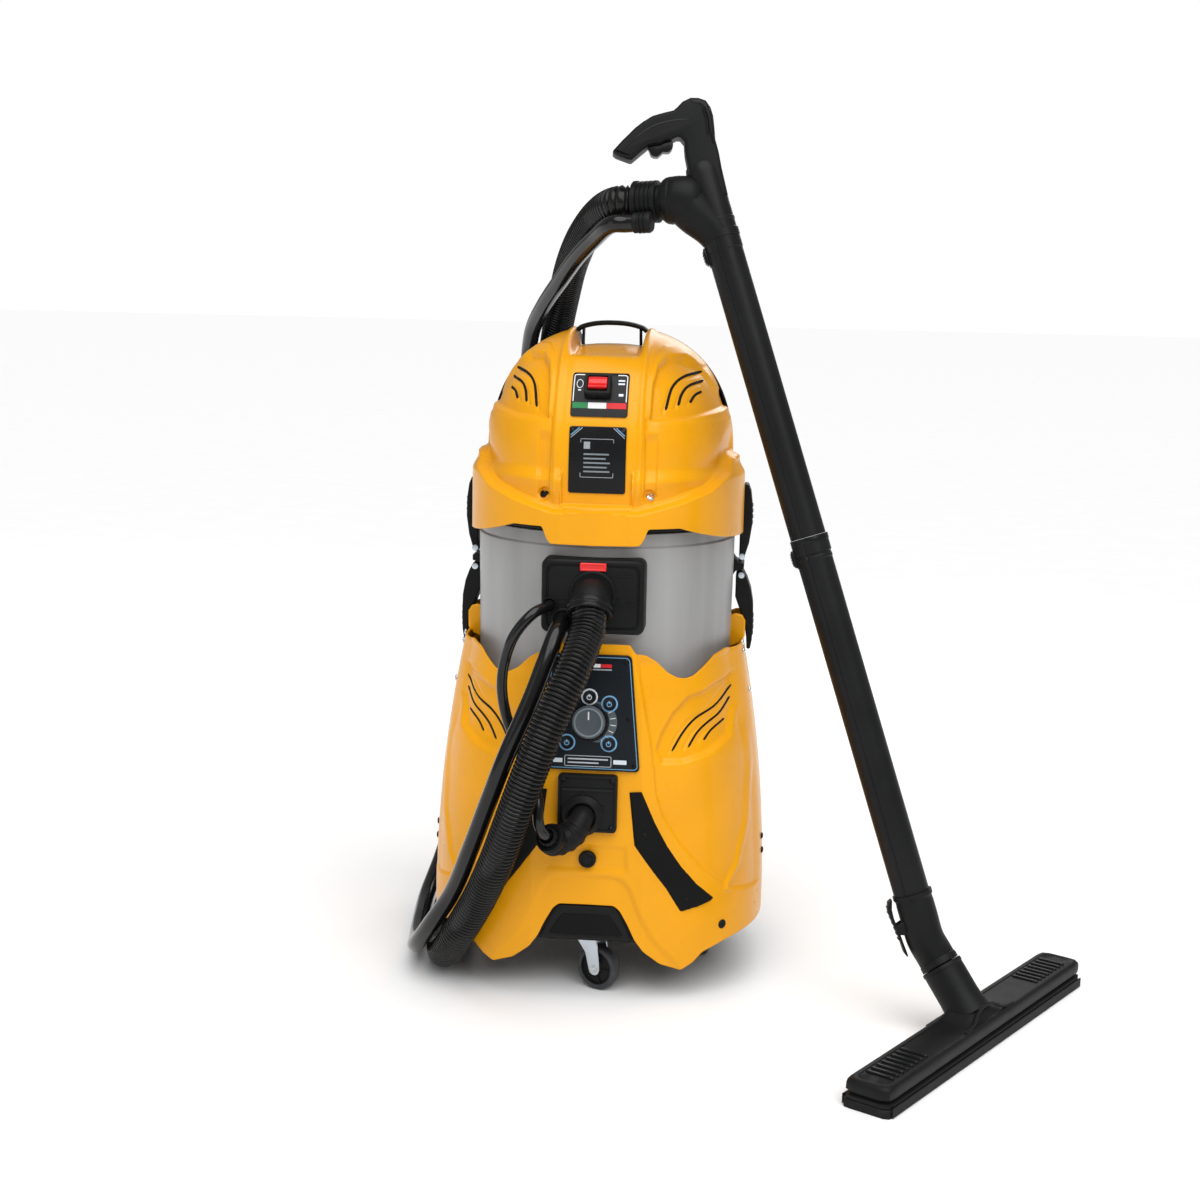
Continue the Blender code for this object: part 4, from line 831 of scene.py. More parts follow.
def base_skin(front, columns, rows):
    turns = np.linspace(-math.pi / 2, math.pi / 2, columns)[None, :]
    across = np.sign(turns) * np.abs(np.sin(turns)) ** (2 / BASE_POWER)
    rise = np.abs(np.cos(turns)) ** (2 / BASE_POWER)
    steps = np.linspace(0, 1, rows)[:, None]
    if front:
        low = rounded_knots(np.abs(across) * 0.228, BASE_LOW, 0.004)
        high = rounded_knots(np.abs(across) * 0.190, BASE_TOP, 0.003)
    else:
        low = np.full_like(across, 0.0785)
        high = np.full_like(across, 0.4535)
    z = low + (high - low) * steps
    x = across * base_half(z)
    if front:
        y = -np.minimum(base_face(z), rise * base_front(z))
    else:
        y = np.maximum(rise * base_rear(z), 0.0008)
    return np.stack([x, y + 0 * x, z], axis=-1)


def base_relief(x, z):
    """How far the base's front stands off its plain surface, in metres."""
    side = np.abs(x)
    spine = [(0.0, 0.0), (0.0, 0.52), *HOUSING, *CREASE, (0.30, 0.10), (0.30, 0.0)]
    outside = 1 - area(side, z, spine, 0.006)
    relief = -0.0045 * outside * ease((0.47 - z) / 0.02)
    shoulder = 1 - area(side, z, [(0.0, 0.30), (0.0, 0.52), *HOUSING], 0.012)
    relief -= 0.0045 * shoulder * ease((z - 0.318) / 0.05)
    relief -= 0.0060 * area(side, z, SCOOP, 0.009)
    relief += 0.0036 * rib(side, z, OUTER_RIDGE, 0.0065)
    relief += 0.0015 * rib(side, z, CREASE, 0.004)
    relief -= 0.0034 * area(x, z, LOWER_FIELD, 0.010) * ease((0.178 - z) / 0.012)
    boss = area(side, z, [(0.0, 0.18), (0.052, 0.18), (0.050, 0.211), (0.0, 0.2135)], 0.008)
    relief -= 0.0022 * boss
    for slot in BASE_SLOTS:
        relief -= 0.0010 * rib(side, z, slot, 0.0035)
    return relief


def base_rear_relief(x, z):
    relief = 0.0 * x
    for row in range(8):
        line = [(0.030, 0.235 + 0.013 * row), (0.130, 0.235 + 0.013 * row)]
        relief = relief - 0.0030 * rib(x, z, line, 0.0036)
    frame_line = [(-0.165, 0.20), (-0.165, 0.430), (0.165, 0.430), (0.165, 0.20), (-0.165, 0.20)]
    relief = relief + 0.0028 * rib(x, z, frame_line, 0.006)
    relief = relief - 0.0020 * rib(x, z, [(-0.3, 0.118), (0.3, 0.118)], 0.0035)
    return relief


plain_base = base_skin(True, 460, 250)
base_outer = Skin(plain_base, outward_from(0.0))
edge_fade = ease((0.996 - np.abs(plain_base[..., 0]) / base_half(plain_base[..., 2])) / 0.03)
base_points = base_outer.raised(base_relief(plain_base[..., 0], plain_base[..., 2]) * edge_fade)
base_points[..., 1] = np.minimum(base_points[..., 1], -0.0002)
base_front_skin = Skin(base_points, outward_from(0.0))
shell_piece("base_shell", base_points, YELLOW, replaces=("lower_cover",))

plain_base_rear = base_skin(False, 300, 150)
base_rear_outer = Skin(plain_base_rear, outward_from(0.0))
rear_fade = ease((0.99 - np.abs(plain_base_rear[..., 0]) / base_half(plain_base_rear[..., 2])) / 0.03)
base_rear_points = base_rear_outer.raised(
    base_rear_relief(plain_base_rear[..., 0], plain_base_rear[..., 2]) * rear_fade)
shell_piece("base_rear_shell", base_rear_points, YELLOW, replaces=("rear_cover",))

# Painted shade: near-black ribbons laid in the base's vent grooves stand in for the shade inside the slot
# openings.
for number, slot_line in enumerate(BASE_SLOTS, 1):
    curve = smooth_line(slot_line, 18)
    for side_name, line in (("right", curve), ("left", mirrored(curve))):
        strip(f"base_slot_shade_{side_name}_{number}", base_front_skin, line, 0.0014, 0.0004, SLOT_SHADE_PAINT,
              sink=0.0006)


# ---------------------------------------------------------------- things on the faces
GAP = 0.0003


def on_face(surface, lift):
    """Turns (x, z, height) into a place on a face that is flat across and bends upwards."""
    return lambda x, z, height: Vector((x, -(surface(z) + lift + height), z))


def channel_surface(z):
    rise = min(1.0, max(0.0, (z - SHOULDER) / (HEAD_TOP - SHOULDER)))
    return float(head_channel_face(z, (1 - rise ** HEAD_PROFILE) ** (1 / HEAD_PROFILE)))


def round_box(low_x, high_x, low_z, high_z, corner, steps=5):
    """The outline of a rectangle with round corners, in (x, z)."""
    outline = []
    for cx, cz, start in ((high_x - corner, high_z - corner, 0), (low_x + corner, high_z - corner, 90),
                          (low_x + corner, low_z + corner, 180), (high_x - corner, low_z + corner, 270)):
        for i in range(steps + 1):
            a = math.radians(start + 90 * i / steps)
            outline.append((cx + corner * math.cos(a), cz + corner * math.sin(a)))
    return outline


def trapezium(half_low, half_high, low_z, high_z, corner, centre=0.0):
    outline = []
    for x, z in round_box(-1, 1, low_z, high_z, corner):
        share = (z - low_z) / (high_z - low_z)
        half = half_low + (half_high - half_low) * share
        outline.append((centre + math.copysign(half - corner + (abs(x) - 1 + corner), x), z))
    return outline


def dense(outline, step, closed=True):
    """The same outline with its long edges cut into short ones."""
    made = []
    ends = outline[1:] + outline[:1] if closed else outline[1:]
    for (ax, az), (bx, bz) in zip(outline, ends):
        cuts = max(1, int(math.hypot(bx - ax, bz - az) / step))
        made += [(ax + (bx - ax) * i / cuts, az + (bz - az) * i / cuts) for i in range(cuts)]
    return made if closed else [*made, outline[-1]]


def stack(name, place, outline, levels, finish, body="machine", slot=None, replaces=(), smooth=32.0):
    """Loops of one outline, each given as (inset, height), skinned over and capped."""
    outline = dense(outline, 0.008)
    centre = (sum(p[0] for p in outline) / len(outline), sum(p[1] for p in outline) / len(outline))
    half_x = max(abs(p[0] - centre[0]) for p in outline)
    half_z = max(abs(p[1] - centre[1]) for p in outline)
    verts, faces = [], []
    count = len(outline)
    for inset, height in levels:
        for x, z in outline:
            px = centre[0] + (x - centre[0]) * (1 - inset / half_x)
            pz = centre[1] + (z - centre[1]) * (1 - inset / half_z)
            verts.append(tuple(place(px, pz, height)))
    for row in range(len(levels) - 1):
        for i in range(count):
            j = (i + 1) % count
            faces.append((row * count + i, row * count + j, (row + 1) * count + j, (row + 1) * count + i))
    top = (len(levels) - 1) * count
    rows = [list(range(top, top + count))]
    inset, height = levels[-1]
    inner = 2 + int(half_z / 0.012)
    for share in (i / inner for i in range(inner - 1, 0, -1)):
        row = []
        for x, z in outline:
            px = centre[0] + (x - centre[0]) * (1 - inset / half_x) * share
            pz = centre[1] + (z - centre[1]) * (1 - inset / half_z) * share
            row.append(len(verts))
            verts.append(tuple(place(px, pz, height)))
        rows.append(row)
    for low, high in zip(rows, rows[1:]):
        for i in range(count):
            j = (i + 1) % count
            faces.append((low[i], low[j], high[j], high[i]))
    faces.append(tuple(rows[-1]))
    faces.append(tuple(reversed(range(count))))
    return piece(name, verts, faces, finish, body, slot, smooth=smooth, replaces=replaces)


def band(name, place, line, half, low, high, finish, body="machine", slot=None, closed=False, smooth=40.0):
    """A strip of constant width along a line of (x, z), between two heights."""
    line = [np.array(p, float) for p in line]
    count = len(line)
    verts, faces = [], []
    for i, spot in enumerate(line):
        before = line[(i - 1) % count] if closed else line[max(i - 1, 0)]
        after = line[(i + 1) % count] if closed else line[min(i + 1, count - 1)]
        ahead = after - before
        ahead = ahead / max(np.hypot(*ahead), 1e-9)
        for side, height in ((-1, low), (-1, high), (1, high), (1, low)):
            verts.append(tuple(place(spot[0] - ahead[1] * side * half, spot[1] + ahead[0] * side * half,
                                     height)))
    last = count if closed else count - 1
    for i in range(last):
        n = (i + 1) % count
        for j in range(4):
            k = (j + 1) % 4
            faces.append((4 * i + j, 4 * i + k, 4 * n + k, 4 * n + j))
    if not closed:
        faces.append((0, 1, 2, 3))
        faces.append(tuple(4 * (count - 1) + j for j in (3, 2, 1, 0)))
    return piece(name, verts, faces, finish, body, slot, smooth=smooth)


def label(name, place, low_x, high_x, low_z, high_z, height, finish, body="machine", slot=None,
          corner=0.0004):
    return stack(name, place, round_box(low_x, high_x, low_z, high_z, corner, 2),
                 [(0, height - 0.0004), (0, height)], finish, body, slot)


def screw(name, place, out, radius, finish, body="machine", slot=None):
    """A round-headed screw with a round recess, in its washer."""
    head = [(0, 0), (radius, 0), (radius, 0.0008), (radius * 0.86, 0.0018), (radius * 0.5, 0.0024),
            (radius * 0.42, 0.0012), (0, 0.0010)]
    return piece(name, *turned(head, 20, out, place), finish, body, slot, smooth=40.0)


# The switch plate: a dark plate with a pale frame, a tricolour bar and the switch.
plate_face = on_face(channel_surface, GAP)
SWITCH_LOW, SWITCH_HIGH = 0.7655, 0.8195
stack("switch_label_plate", plate_face, round_box(-0.0365, 0.0365, SWITCH_LOW, SWITCH_HIGH, 0.0035),
      [(0, 0.0), (0, 0.0015), (0.0007, 0.0021)], BLACK_SMOOTH, "head", slot="black_gloss",
      replaces=("switch_plate",))
corners = [
    ("left", [(-0.0145, 0.8170), (-0.0335, 0.8170), (-0.0340, 0.8160), (-0.0340, 0.7845)]),
    ("right", [(0.0215, 0.8170), (0.0335, 0.8170), (0.0340, 0.8160), (0.0340, 0.7845)]),
]
for side_name, line in corners:
    band(f"switch_frame_{side_name}", plate_face, resample(line, 14), 0.0006, 0.0019, 0.0025, WHITE, "head")
for bar_name, low_x, high_x, finish in (("green", -0.0345, -0.0150, PRINT_GREEN),
                                        ("white", -0.0145, 0.0090, WHITE),
                                        ("red", 0.0095, 0.0345, PRINT_RED)):
    label(f"switch_bar_{bar_name}", plate_face, low_x, high_x, 0.7760, 0.7832, 0.0025, finish, "head")
for row in range(2):
    label(f"switch_tick_{row}", plate_face, 0.0225, 0.0310, 0.8095 - 0.004 * row, 0.8115 - 0.004 * row,
          0.0024, SILVER, "head")
label("switch_tick_low", plate_face, 0.0240, 0.0300, 0.7915, 0.7945, 0.0024, SILVER, "head")
ring = [(-0.0265 + 0.0040 * math.cos(a), 0.8060 + 0.0050 * math.sin(a)) for a in np.linspace(0, 2 * math.pi,
                                                                                             17)[:-1]]
band("switch_mark_ring", plate_face, ring, 0.0004, 0.0019, 0.0024, SILVER, "head", closed=True)
label("switch_mark_bar", plate_face, -0.0285, -0.0245, 0.7975, 0.7990, 0.0024, SILVER, "head")

# The data plate: dark, with bright clipped corners and a framed square, its print left out.
DATA_LOW, DATA_HIGH = 0.669, 0.7535
stack("data_label_plate", plate_face, round_box(-0.0365, 0.0365, DATA_LOW, DATA_HIGH, 0.0030),
      [(0, 0.0), (0, 0.0013), (0.0007, 0.0019)], BLACK_SMOOTH, "head", slot="black_gloss",
      replaces=("data_plate",))
for sign, side_name in ((-1, "left"), (1, "right")):
    line = [(sign * 0.0200, 0.7520), (sign * 0.0345, 0.7395)]
    band(f"data_corner_{side_name}", plate_face, resample(line, 6), 0.0005, 0.0017, 0.0023, SILVER, "head")
    line = [(sign * 0.0235, 0.7520), (sign * 0.0345, 0.7425)]
    band(f"data_corner_blue_{side_name}", plate_face, resample(line, 6), 0.0007, 0.0017, 0.0022, PANEL_BLUE,
         "head")
band("data_square", plate_face, round_box(-0.0215, 0.0205, 0.6895, 0.7380, 0.0010, 2), 0.00035, 0.0017,
     0.0022, SILVER, "head", closed=True)
label("data_square_corner", plate_face, -0.0175, -0.0095, 0.7255, 0.7345, 0.0022, SILVER, "head")
for row in range(5):
    wide = (0.0150, 0.0110, 0.0165, 0.0125, 0.0160)[row]
    label(f"data_line_{row}", plate_face, -0.0175, wide, 0.7178 - 0.0055 * row, 0.7198 - 0.0055 * row,
          0.0021, DIAL_RIM, "head", slot="grey_plastic")

# The switch: a black housing with a well, and a red rocker in it.
switch_z = 0.8015
tilt = math.atan2(channel_surface(switch_z - 0.002) - channel_surface(switch_z + 0.002), 0.004)
switch_turn = Matrix.Rotation(-tilt, 3, "X")
switch_place = Vector((-0.003, -(channel_surface(switch_z) + GAP + 0.0020), switch_z))


def on_switch(x, z, height):
    return switch_place + switch_turn @ Vector((x, -height, z))


stack("switch_body", on_switch, round_box(-0.0170, 0.0170, -0.0150, 0.0150, 0.0030),
      [(0, 0.0), (0, 0.0098), (0.0012, 0.0115), (0.0038, 0.0115), (0.0040, 0.0070)], BLACK, "head",
      replaces=("switch_housing",))
rocker_profile = [(-0.0078, 0.0072), (-0.0082, 0.0138), (-0.0068, 0.0150), (-0.0030, 0.0125),
                  (0.0010, 0.0112), (0.0050, 0.0116), (0.0076, 0.0130), (0.0080, 0.0078)]
rocker_verts, rocker_faces = [], []
for x in np.linspace(-0.0122, 0.0122, 9):
    trim = 0.0006 if abs(x) > 0.012 else 0.0
    for z, out in rocker_profile:
        rocker_verts.append(tuple(on_switch(x, (z + 0.001) * (1 - trim * 40), out - trim)))
profile_count = len(rocker_profile)
for i in range(8):
    for j in range(profile_count):
        k = (j + 1) % profile_count
        rocker_faces.append((i * profile_count + j, i * profile_count + k, (i + 1) * profile_count + k,
                             (i + 1) * profile_count + j))
rocker_faces.append(tuple(range(profile_count)))
rocker_faces.append(tuple(reversed(range(8 * profile_count, 9 * profile_count))))
rocker = piece("rocker_cap", rocker_verts, rocker_faces, RED, "rocker", replaces=("switch_rocker",))
rounding(rocker, 0.0007)

# The two head screws at the feet of their channels: a black one and a steel one.
for side_name, sign, finish in (("left", -1, BLACK), ("right", 1, STEEL)):
    spot, out = head_front.at(sign * SCREW_SPOT[0], SCREW_SPOT[1])
    screw(f"head_screw_{side_name}", spot, out, 0.0062, finish, "head")

# The carrying handle: a thin strap bowed from horn to horn, with two feet.
strap_line = arc_path([(-0.0470, 0.012, 0.8690), (-0.0400, 0.012, 0.8738), (-0.022, 0.012, 0.8782),
                       (0.0, 0.012, 0.8795), (0.022, 0.012, 0.8782), (0.0400, 0.012, 0.8738),
                       (0.0470, 0.012, 0.8690)], 40)
strap = swept(strap_line, [0.0115] * 40, 24, flat=0.29, first=(0, 1, 0))
piece("handle_strap", *strap, BLACK, "head", replaces=("carry_handle",))
for side_name, sign in (("left", -1), ("right", 1)):
    foot = swept([(sign * 0.0385, 0.012, 0.8755), (sign * 0.0388, 0.012, 0.8640),
                  (sign * 0.0392, 0.012, 0.8500)], [0.0095, 0.0095, 0.0100], 20, flat=0.20, first=(0, 1, 0))
    piece(f"handle_foot_{side_name}", *foot, BLACK, "head")

# ---------------------------------------------------------------- recovery tank


def tank_radius(z):
    return 0.172 + 0.012 * (z - 0.4)


tank_profile = [(0, 0.370), (0.150, 0.370), (0.160, 0.3715), (0.1672, 0.377), (0.1712, 0.386)]
tank_profile += [(tank_radius(z), z) for z in np.linspace(0.395, 0.598, 24)]
tank_profile += [(0.1722, 0.6005), (0.1722, 0.6160), (0.1712, 0.6168), (0.1685, 0.6168), (0.1682, 0.600)]
tank_profile += [(tank_radius(z) - 0.004, z) for z in np.linspace(0.598, 0.395, 12)]
tank_profile += [(0.1640, 0.380), (0.1560, 0.3745), (0, 0.374)]
tank = piece("tank_cup", *turned(tank_profile, 144), MILKY, replaces=("recovery_tank",))
gasket = [(0.1600, 0.6190), (0.1748, 0.6190), (0.1762, 0.6210), (0.1762, 0.6300), (0.1740, 0.6330),
          (0.1600, 0.6330)]
piece("head_gasket", *turned(gasket, 144, closed=True), BLACK, "head")

# The inlet plate: a black block with a stepped rim, two pairs of grooves, and the red release.
tank_face = on_face(lambda z: 0.0, 0.0)
stack("inlet_block", tank_face, round_box(-0.0665, 0.0665, 0.4905, 0.5870, 0.010, 6),
      [(0, 0.1615), (0, 0.1905), (0.0012, 0.1936), (0.0034, 0.1950), (0.0066, 0.1950), (0.0074, 0.1932),
       (0.0090, 0.1932), (0.0098, 0.1948)], BLACK, replaces=("inlet_plate",))
band("inlet_ridge_0", tank_face, [(-0.0530, 0.5670), (0.0530, 0.5670)], 0.0007, 0.1940, 0.1957,
     BLACK_SMOOTH)
for side_name, sign in (("left", -1), ("right", 1)):
    for row, z in enumerate((0.5300, 0.5365)):
        band(f"inlet_groove_{side_name}_{row}", tank_face, [(sign * 0.0270, z), (sign * 0.0540, z)], 0.0006,
             0.1942, 0.1957, BLACK_SMOOTH)
stack("release_key", tank_face, round_box(-0.0168, 0.0168, 0.5723, 0.5827, 0.0012, 3),
      [(0, 0.1925), (0, 0.1975), (0.0008, 0.1984), (0.0020, 0.1984), (0.0026, 0.1978)], RED, "release",
      replaces=("release_button",))
ring_profile = [(0.0205, 0.0), (0.0300, 0.0), (0.0300, 0.0035), (0.0285, 0.0050), (0.0262, 0.0050),
                (0.0255, 0.0038), (0.0205, 0.0038)]
piece("inlet_ring", *turned(ring_profile, 48, (0, -1, 0), (0, -PLATE_FRONT + 0.0006, INLET_Z), closed=True),
      BLACK)
elbow_line = arc_path([(0.0, -PLATE_FRONT + 0.016, INLET_Z), (0.0, -PLATE_FRONT - 0.004, INLET_Z),
                       (0.0, -PLATE_FRONT - 0.0115, INLET_Z - 0.0022),
                       tuple(COLLAR_CENTRE + FLANGE_OUT * 0.006),
                       tuple(COLLAR_CENTRE + FLANGE_OUT * 0.017)], 26)
elbow_radii = [float(np.interp(i, [0, 9, 16, 25], [0.0195, 0.0205, 0.0250, 0.0280])) for i in range(26)]
piece("inlet_elbow", *swept(elbow_line, elbow_radii, 40), BLACK, replaces=("hose_inlet_elbow",))
socket_start = COLLAR_CENTRE + FLANGE_OUT * 0.010
socket_profile = [(0.0236, 0.004), (0.0286, 0.004), (0.0292, 0.006), (0.0292, 0.0095), (0.0284, 0.0105),
                  (0.0284, 0.0125), (0.0290, 0.0135), (0.0290, 0.0175), (0.0278, 0.0185), (0.0240, 0.0185)]
piece("inlet_socket", *turned(socket_profile, 48, FLANGE_OUT, socket_start, closed=True), BLACK_SMOOTH)
for gland_name, x, z, radius in (("steam", -0.038, 0.508, 0.0155), ("branch", -0.055, 0.527, 0.0108)):
    gland = [(radius * 0.72, 0), (radius, 0), (radius, 0.0025), (radius * 0.9, 0.0045),
             (radius * 0.80, 0.0045)]
    piece(f"{gland_name}_gland", *turned(gland, 28, (0, -1, 0), (x, -PLATE_FRONT + 0.0003, z), closed=True),
          BLACK)

# ---------------------------------------------------------------- latches
LATCH_HALF = 0.0170
LATCH_Y = 0.030
UPPER_BODY = [(0.1808, 0.561), (0.1808, 0.612), (0.1814, 0.655), (0.1850, 0.6655), (0.1905, 0.6655),
              (0.1945, 0.655), (0.1972, 0.635), (0.1975, 0.610), (0.1940, 0.585), (0.1890, 0.568),
              (0.1860, 0.561)]
LOWER_BODY = [(0.1772, 0.540), (0.1790, 0.546), (0.1870, 0.546), (0.1930, 0.535), (0.1985, 0.520),
              (0.2022, 0.500), (0.2030, 0.470), (0.2022, 0.450), (0.2000, 0.437), (0.1950, 0.437),
              (0.1942, 0.452), (0.1920, 0.468), (0.1880, 0.482), (0.1820, 0.497), (0.1772, 0.510)]


def flank_prism(outline, low_y, high_y, side):
    return prism([(side * x, z) for x, z in outline], low_y, high_y, "xz")


for side_name, side in (("left", -1), ("right", 1)):
    for level, outline, grips in (
        ("upper", UPPER_BODY, [(0.1972, 0.636), (0.1975, 0.628), (0.1976, 0.620), (0.1973, 0.612)]),
        ("lower", LOWER_BODY, [(0.2028, 0.482), (0.2030, 0.474), (0.2030, 0.466), (0.2027, 0.458)]),
    ):
        body = f"latch_{level}_{side_name}_arm"
        arm = piece(f"latch_{level}_{side_name}_body",
                    *flank_prism(outline, LATCH_Y - LATCH_HALF, LATCH_Y + LATCH_HALF, side), BLACK, body,
                    replaces=(f"latch_{level}_{side_name}",))
        rounding(arm, 0.0022, 3)
        for row, (x, z) in enumerate(grips):
            bar = piece(f"latch_{level}_{side_name}_grip_{row}",
                        *block((0.0028, 2 * LATCH_HALF - 0.008, 0.0026), (side * (x - 0.0006), LATCH_Y, z)),
                        BLACK, body)
            rounding(bar, 0.0008, 2)
        hinge_z = 0.566 if level == "upper" else 0.540
        pin = [(0, -0.0010), (0.0036, -0.0010), (0.0042, 0.0), (0.0042, 0.0008), (0, 0.0014)]
        for end, face in ((-1, LATCH_Y - LATCH_HALF), (1, LATCH_Y + LATCH_HALF)):
            piece(f"latch_{level}_{side_name}_pin_{'front' if end < 0 else 'back'}",
                  *turned(pin, 20, (0, end, 0), (side * 0.1850, face, hinge_z)), ZINC, body)
    # The tank's bracket that both latches hinge on, and the base's two ears beside the lower hook.
    bracket = [(0.1700, 0.536), (0.1770, 0.5465), (0.1880, 0.5490), (0.1880, 0.5570), (0.1770, 0.5600),
               (0.1700, 0.570)]
    mount = piece(f"latch_bracket_{side_name}",
                  *flank_prism(bracket, LATCH_Y - 0.021, LATCH_Y + 0.021, side), BLACK)
    rounding(mount, 0.0012, 2)
    ear = [(0.1700, 0.440), (0.1860, 0.4470), (0.1925, 0.4560), (0.1925, 0.4780), (0.1880, 0.4860),
           (0.1800, 0.4880), (0.1700, 0.4840)]
    for end_name, low_y in (("front", LATCH_Y - 0.0245), ("back", LATCH_Y + 0.0185)):
        cheek = piece(f"latch_ear_{side_name}_{end_name}", *flank_prism(ear, low_y, low_y + 0.006, side),
                      YELLOW)
        rounding(cheek, 0.0020, 3)

# ---------------------------------------------------------------- control panel
PANEL_LIFT = 0.0043
panel_face = on_face(base_face, GAP)
PANEL_LOW, PANEL_HIGH = 0.314, 0.4635
stack("panel_board", panel_face, trapezium(0.0662, 0.0517, PANEL_LOW, PANEL_HIGH, 0.0060),
      [(0, 0.0), (0, 0.0030), (0.0004, 0.0038), (0.0012, 0.0041)], PANEL, replaces=("control_panel",))
edge_line = trapezium(0.0633, 0.0490, PANEL_LOW + 0.003, PANEL_HIGH - 0.003, 0.0050)
band("panel_edge_line", panel_face, dense(edge_line, 0.006), 0.0005, 0.0034, 0.0044, PANEL_BLUE,
     closed=True)


def panel_label(name, low_x, high_x, low_z, high_z, finish, height=0.0045):
    label(name, panel_face, low_x, high_x, low_z, high_z, height, finish)


def face_out(z):
    return Vector((0, -1, 0.5 * (z - 0.2))).normalized()


def panel_spot(x, z, lift=PANEL_LIFT):
    return Vector((x, -(base_face(z) + lift), z))


panel_label("panel_bar_white", -0.0010, 0.0120, 0.4475, 0.4520, WHITE)
panel_label("panel_bar_red", 0.0125, 0.0265, 0.4475, 0.4520, PRINT_RED)
panel_label("panel_bar_low", -0.0010, 0.0265, 0.4440, 0.4458, SILVER)
panel_label("panel_mark_left", -0.0450, -0.0330, 0.4380, 0.4400, RING_BLUE)
BUTTONS = (("1", -0.0010, 0.4095, RING_PALE), ("2", 0.0250, 0.4015, RING_BLUE),
           ("3", -0.0285, 0.3500, RING_BLUE), ("4", 0.0255, 0.3500, RING_BLUE))
for number, x, z, ring_finish in BUTTONS:
    cap = [(0, 0), (0.0077, 0), (0.0080, 0.0003), (0.0080, 0.0015), (0.0074, 0.0021), (0.0055, 0.0019),
           (0, 0.0016)]
    piece(f"button_{number}_cap", *turned(cap, 36, face_out(z), panel_spot(x, z, 0.0065)), BLACK_SMOOTH,
          f"button_{number}", slot="black_gloss", replaces=(f"panel_button_{number}",))
    icon = [(0.0024, 0.0015), (0.0034, 0.0015), (0.0034, 0.0021), (0.0024, 0.0021)]
    piece(f"button_{number}_icon", *turned(icon, 24, face_out(z), panel_spot(x, z, 0.0065), closed=True),
          ring_finish, f"button_{number}")
    bar = [(-0.0007, 0.0006), (0.0007, 0.0006), (0.0007, 0.0044), (-0.0007, 0.0044)]
    stack(f"button_{number}_mark", on_face(base_face, 0.0081), [(x + u, z + w) for u, w in bar],
          [(0, 0.0), (0, 0.0006)], ring_finish, f"button_{number}")
    ring = [(0.0084, -0.0006), (0.0108, -0.0006), (0.0108, 0.0010), (0.0102, 0.0015), (0.0090, 0.0015),
            (0.0084, 0.0010)]
    piece(f"button_{number}_ring", *turned(ring, 40, face_out(z), panel_spot(x, z), closed=True),
          ring_finish)

# The dial, with its grip flutes and pointer, inside a printed crescent with its marks.
DIAL_X, DIAL_Z = -0.001, 0.3775
dial_spot = panel_spot(DIAL_X, DIAL_Z, PANEL_LIFT + 0.0012)


def flutes(angle, height):
    return 1 - 0.018 * max(0.0, math.cos(24 * angle)) if 0.0005 < height < 0.006 else 1.0


dial_profile = [(0, 0), (0.0205, 0), (0.0215, 0.0006), (0.0218, 0.0012), (0.0218, 0.0046), (0.0212, 0.0058),
                (0.0196, 0.0066), (0.0160, 0.0068), (0.0150, 0.0062), (0.0075, 0.0058), (0, 0.0057)]
piece("dial_knob", *turned(dial_profile, 144, face_out(DIAL_Z), dial_spot, wave=flutes), DIAL, "dial",
      replaces=("control_dial",))
rim_profile = [(0.0166, 0.0062), (0.0192, 0.0062), (0.0190, 0.0070), (0.0168, 0.0070)]
piece("dial_rim", *turned(rim_profile, 72, face_out(DIAL_Z), dial_spot, closed=True), DIAL_RIM, "dial")
pointer = [(-0.0009, 0.0040), (0.0009, 0.0040), (0.0009, 0.0142), (-0.0009, 0.0142)]
stack("dial_pointer", on_face(base_face, 0.0111), [(DIAL_X + u, DIAL_Z + w) for u, w in pointer],
      [(0, 0.0), (0, 0.0008)], WHITE, "dial", slot="dial_grey")
collar_ring = [(0.0222, -0.0006), (0.0246, -0.0006), (0.0244, 0.0008), (0.0236, 0.0013), (0.0224, 0.0010)]
piece("dial_collar", *turned(collar_ring, 72, face_out(DIAL_Z), panel_spot(DIAL_X, DIAL_Z), closed=True),
      BLACK_SMOOTH, slot="black_gloss")
crescent = []
for a in np.linspace(math.radians(-78), math.radians(78), 25):
    crescent.append((DIAL_X + 0.0262 * math.cos(a), DIAL_Z + 0.0262 * math.sin(a)))
for a in np.linspace(math.radians(78), math.radians(-78), 25):
    wide = 0.0262 + 0.0105 * math.cos(a * 90 / 78)
    crescent.append((DIAL_X + wide * math.cos(a), DIAL_Z + wide * math.sin(a)))
verts, faces = [], []
for lift in (0.0030, 0.0049):
    verts += [tuple(panel_face(x, z, lift)) for x, z in crescent]
for i in range(24):
    faces.append((50 + i, 50 + i + 1, 98 - i, 99 - i))
    faces.append((i, 49 - i, 48 - i, i + 1))
for i in range(50):
    j = (i + 1) % 50
    faces.append((i, j, 50 + j, 50 + i))
piece("dial_crescent", verts, faces, DIAL)
for tick in range(6):
    a = math.radians(-54 + 16 * tick)
    wide = 0.0262 + 0.0105 * math.cos(a * 90 / 78)
    line = [(DIAL_X + 0.0278 * math.cos(a), DIAL_Z + 0.0278 * math.sin(a)),
            (DIAL_X + (wide - 0.0014) * math.cos(a), DIAL_Z + (wide - 0.0014) * math.sin(a))]
    band(f"dial_tick_{tick}", panel_face, line, 0.0004, 0.0044, 0.0053, WHITE)

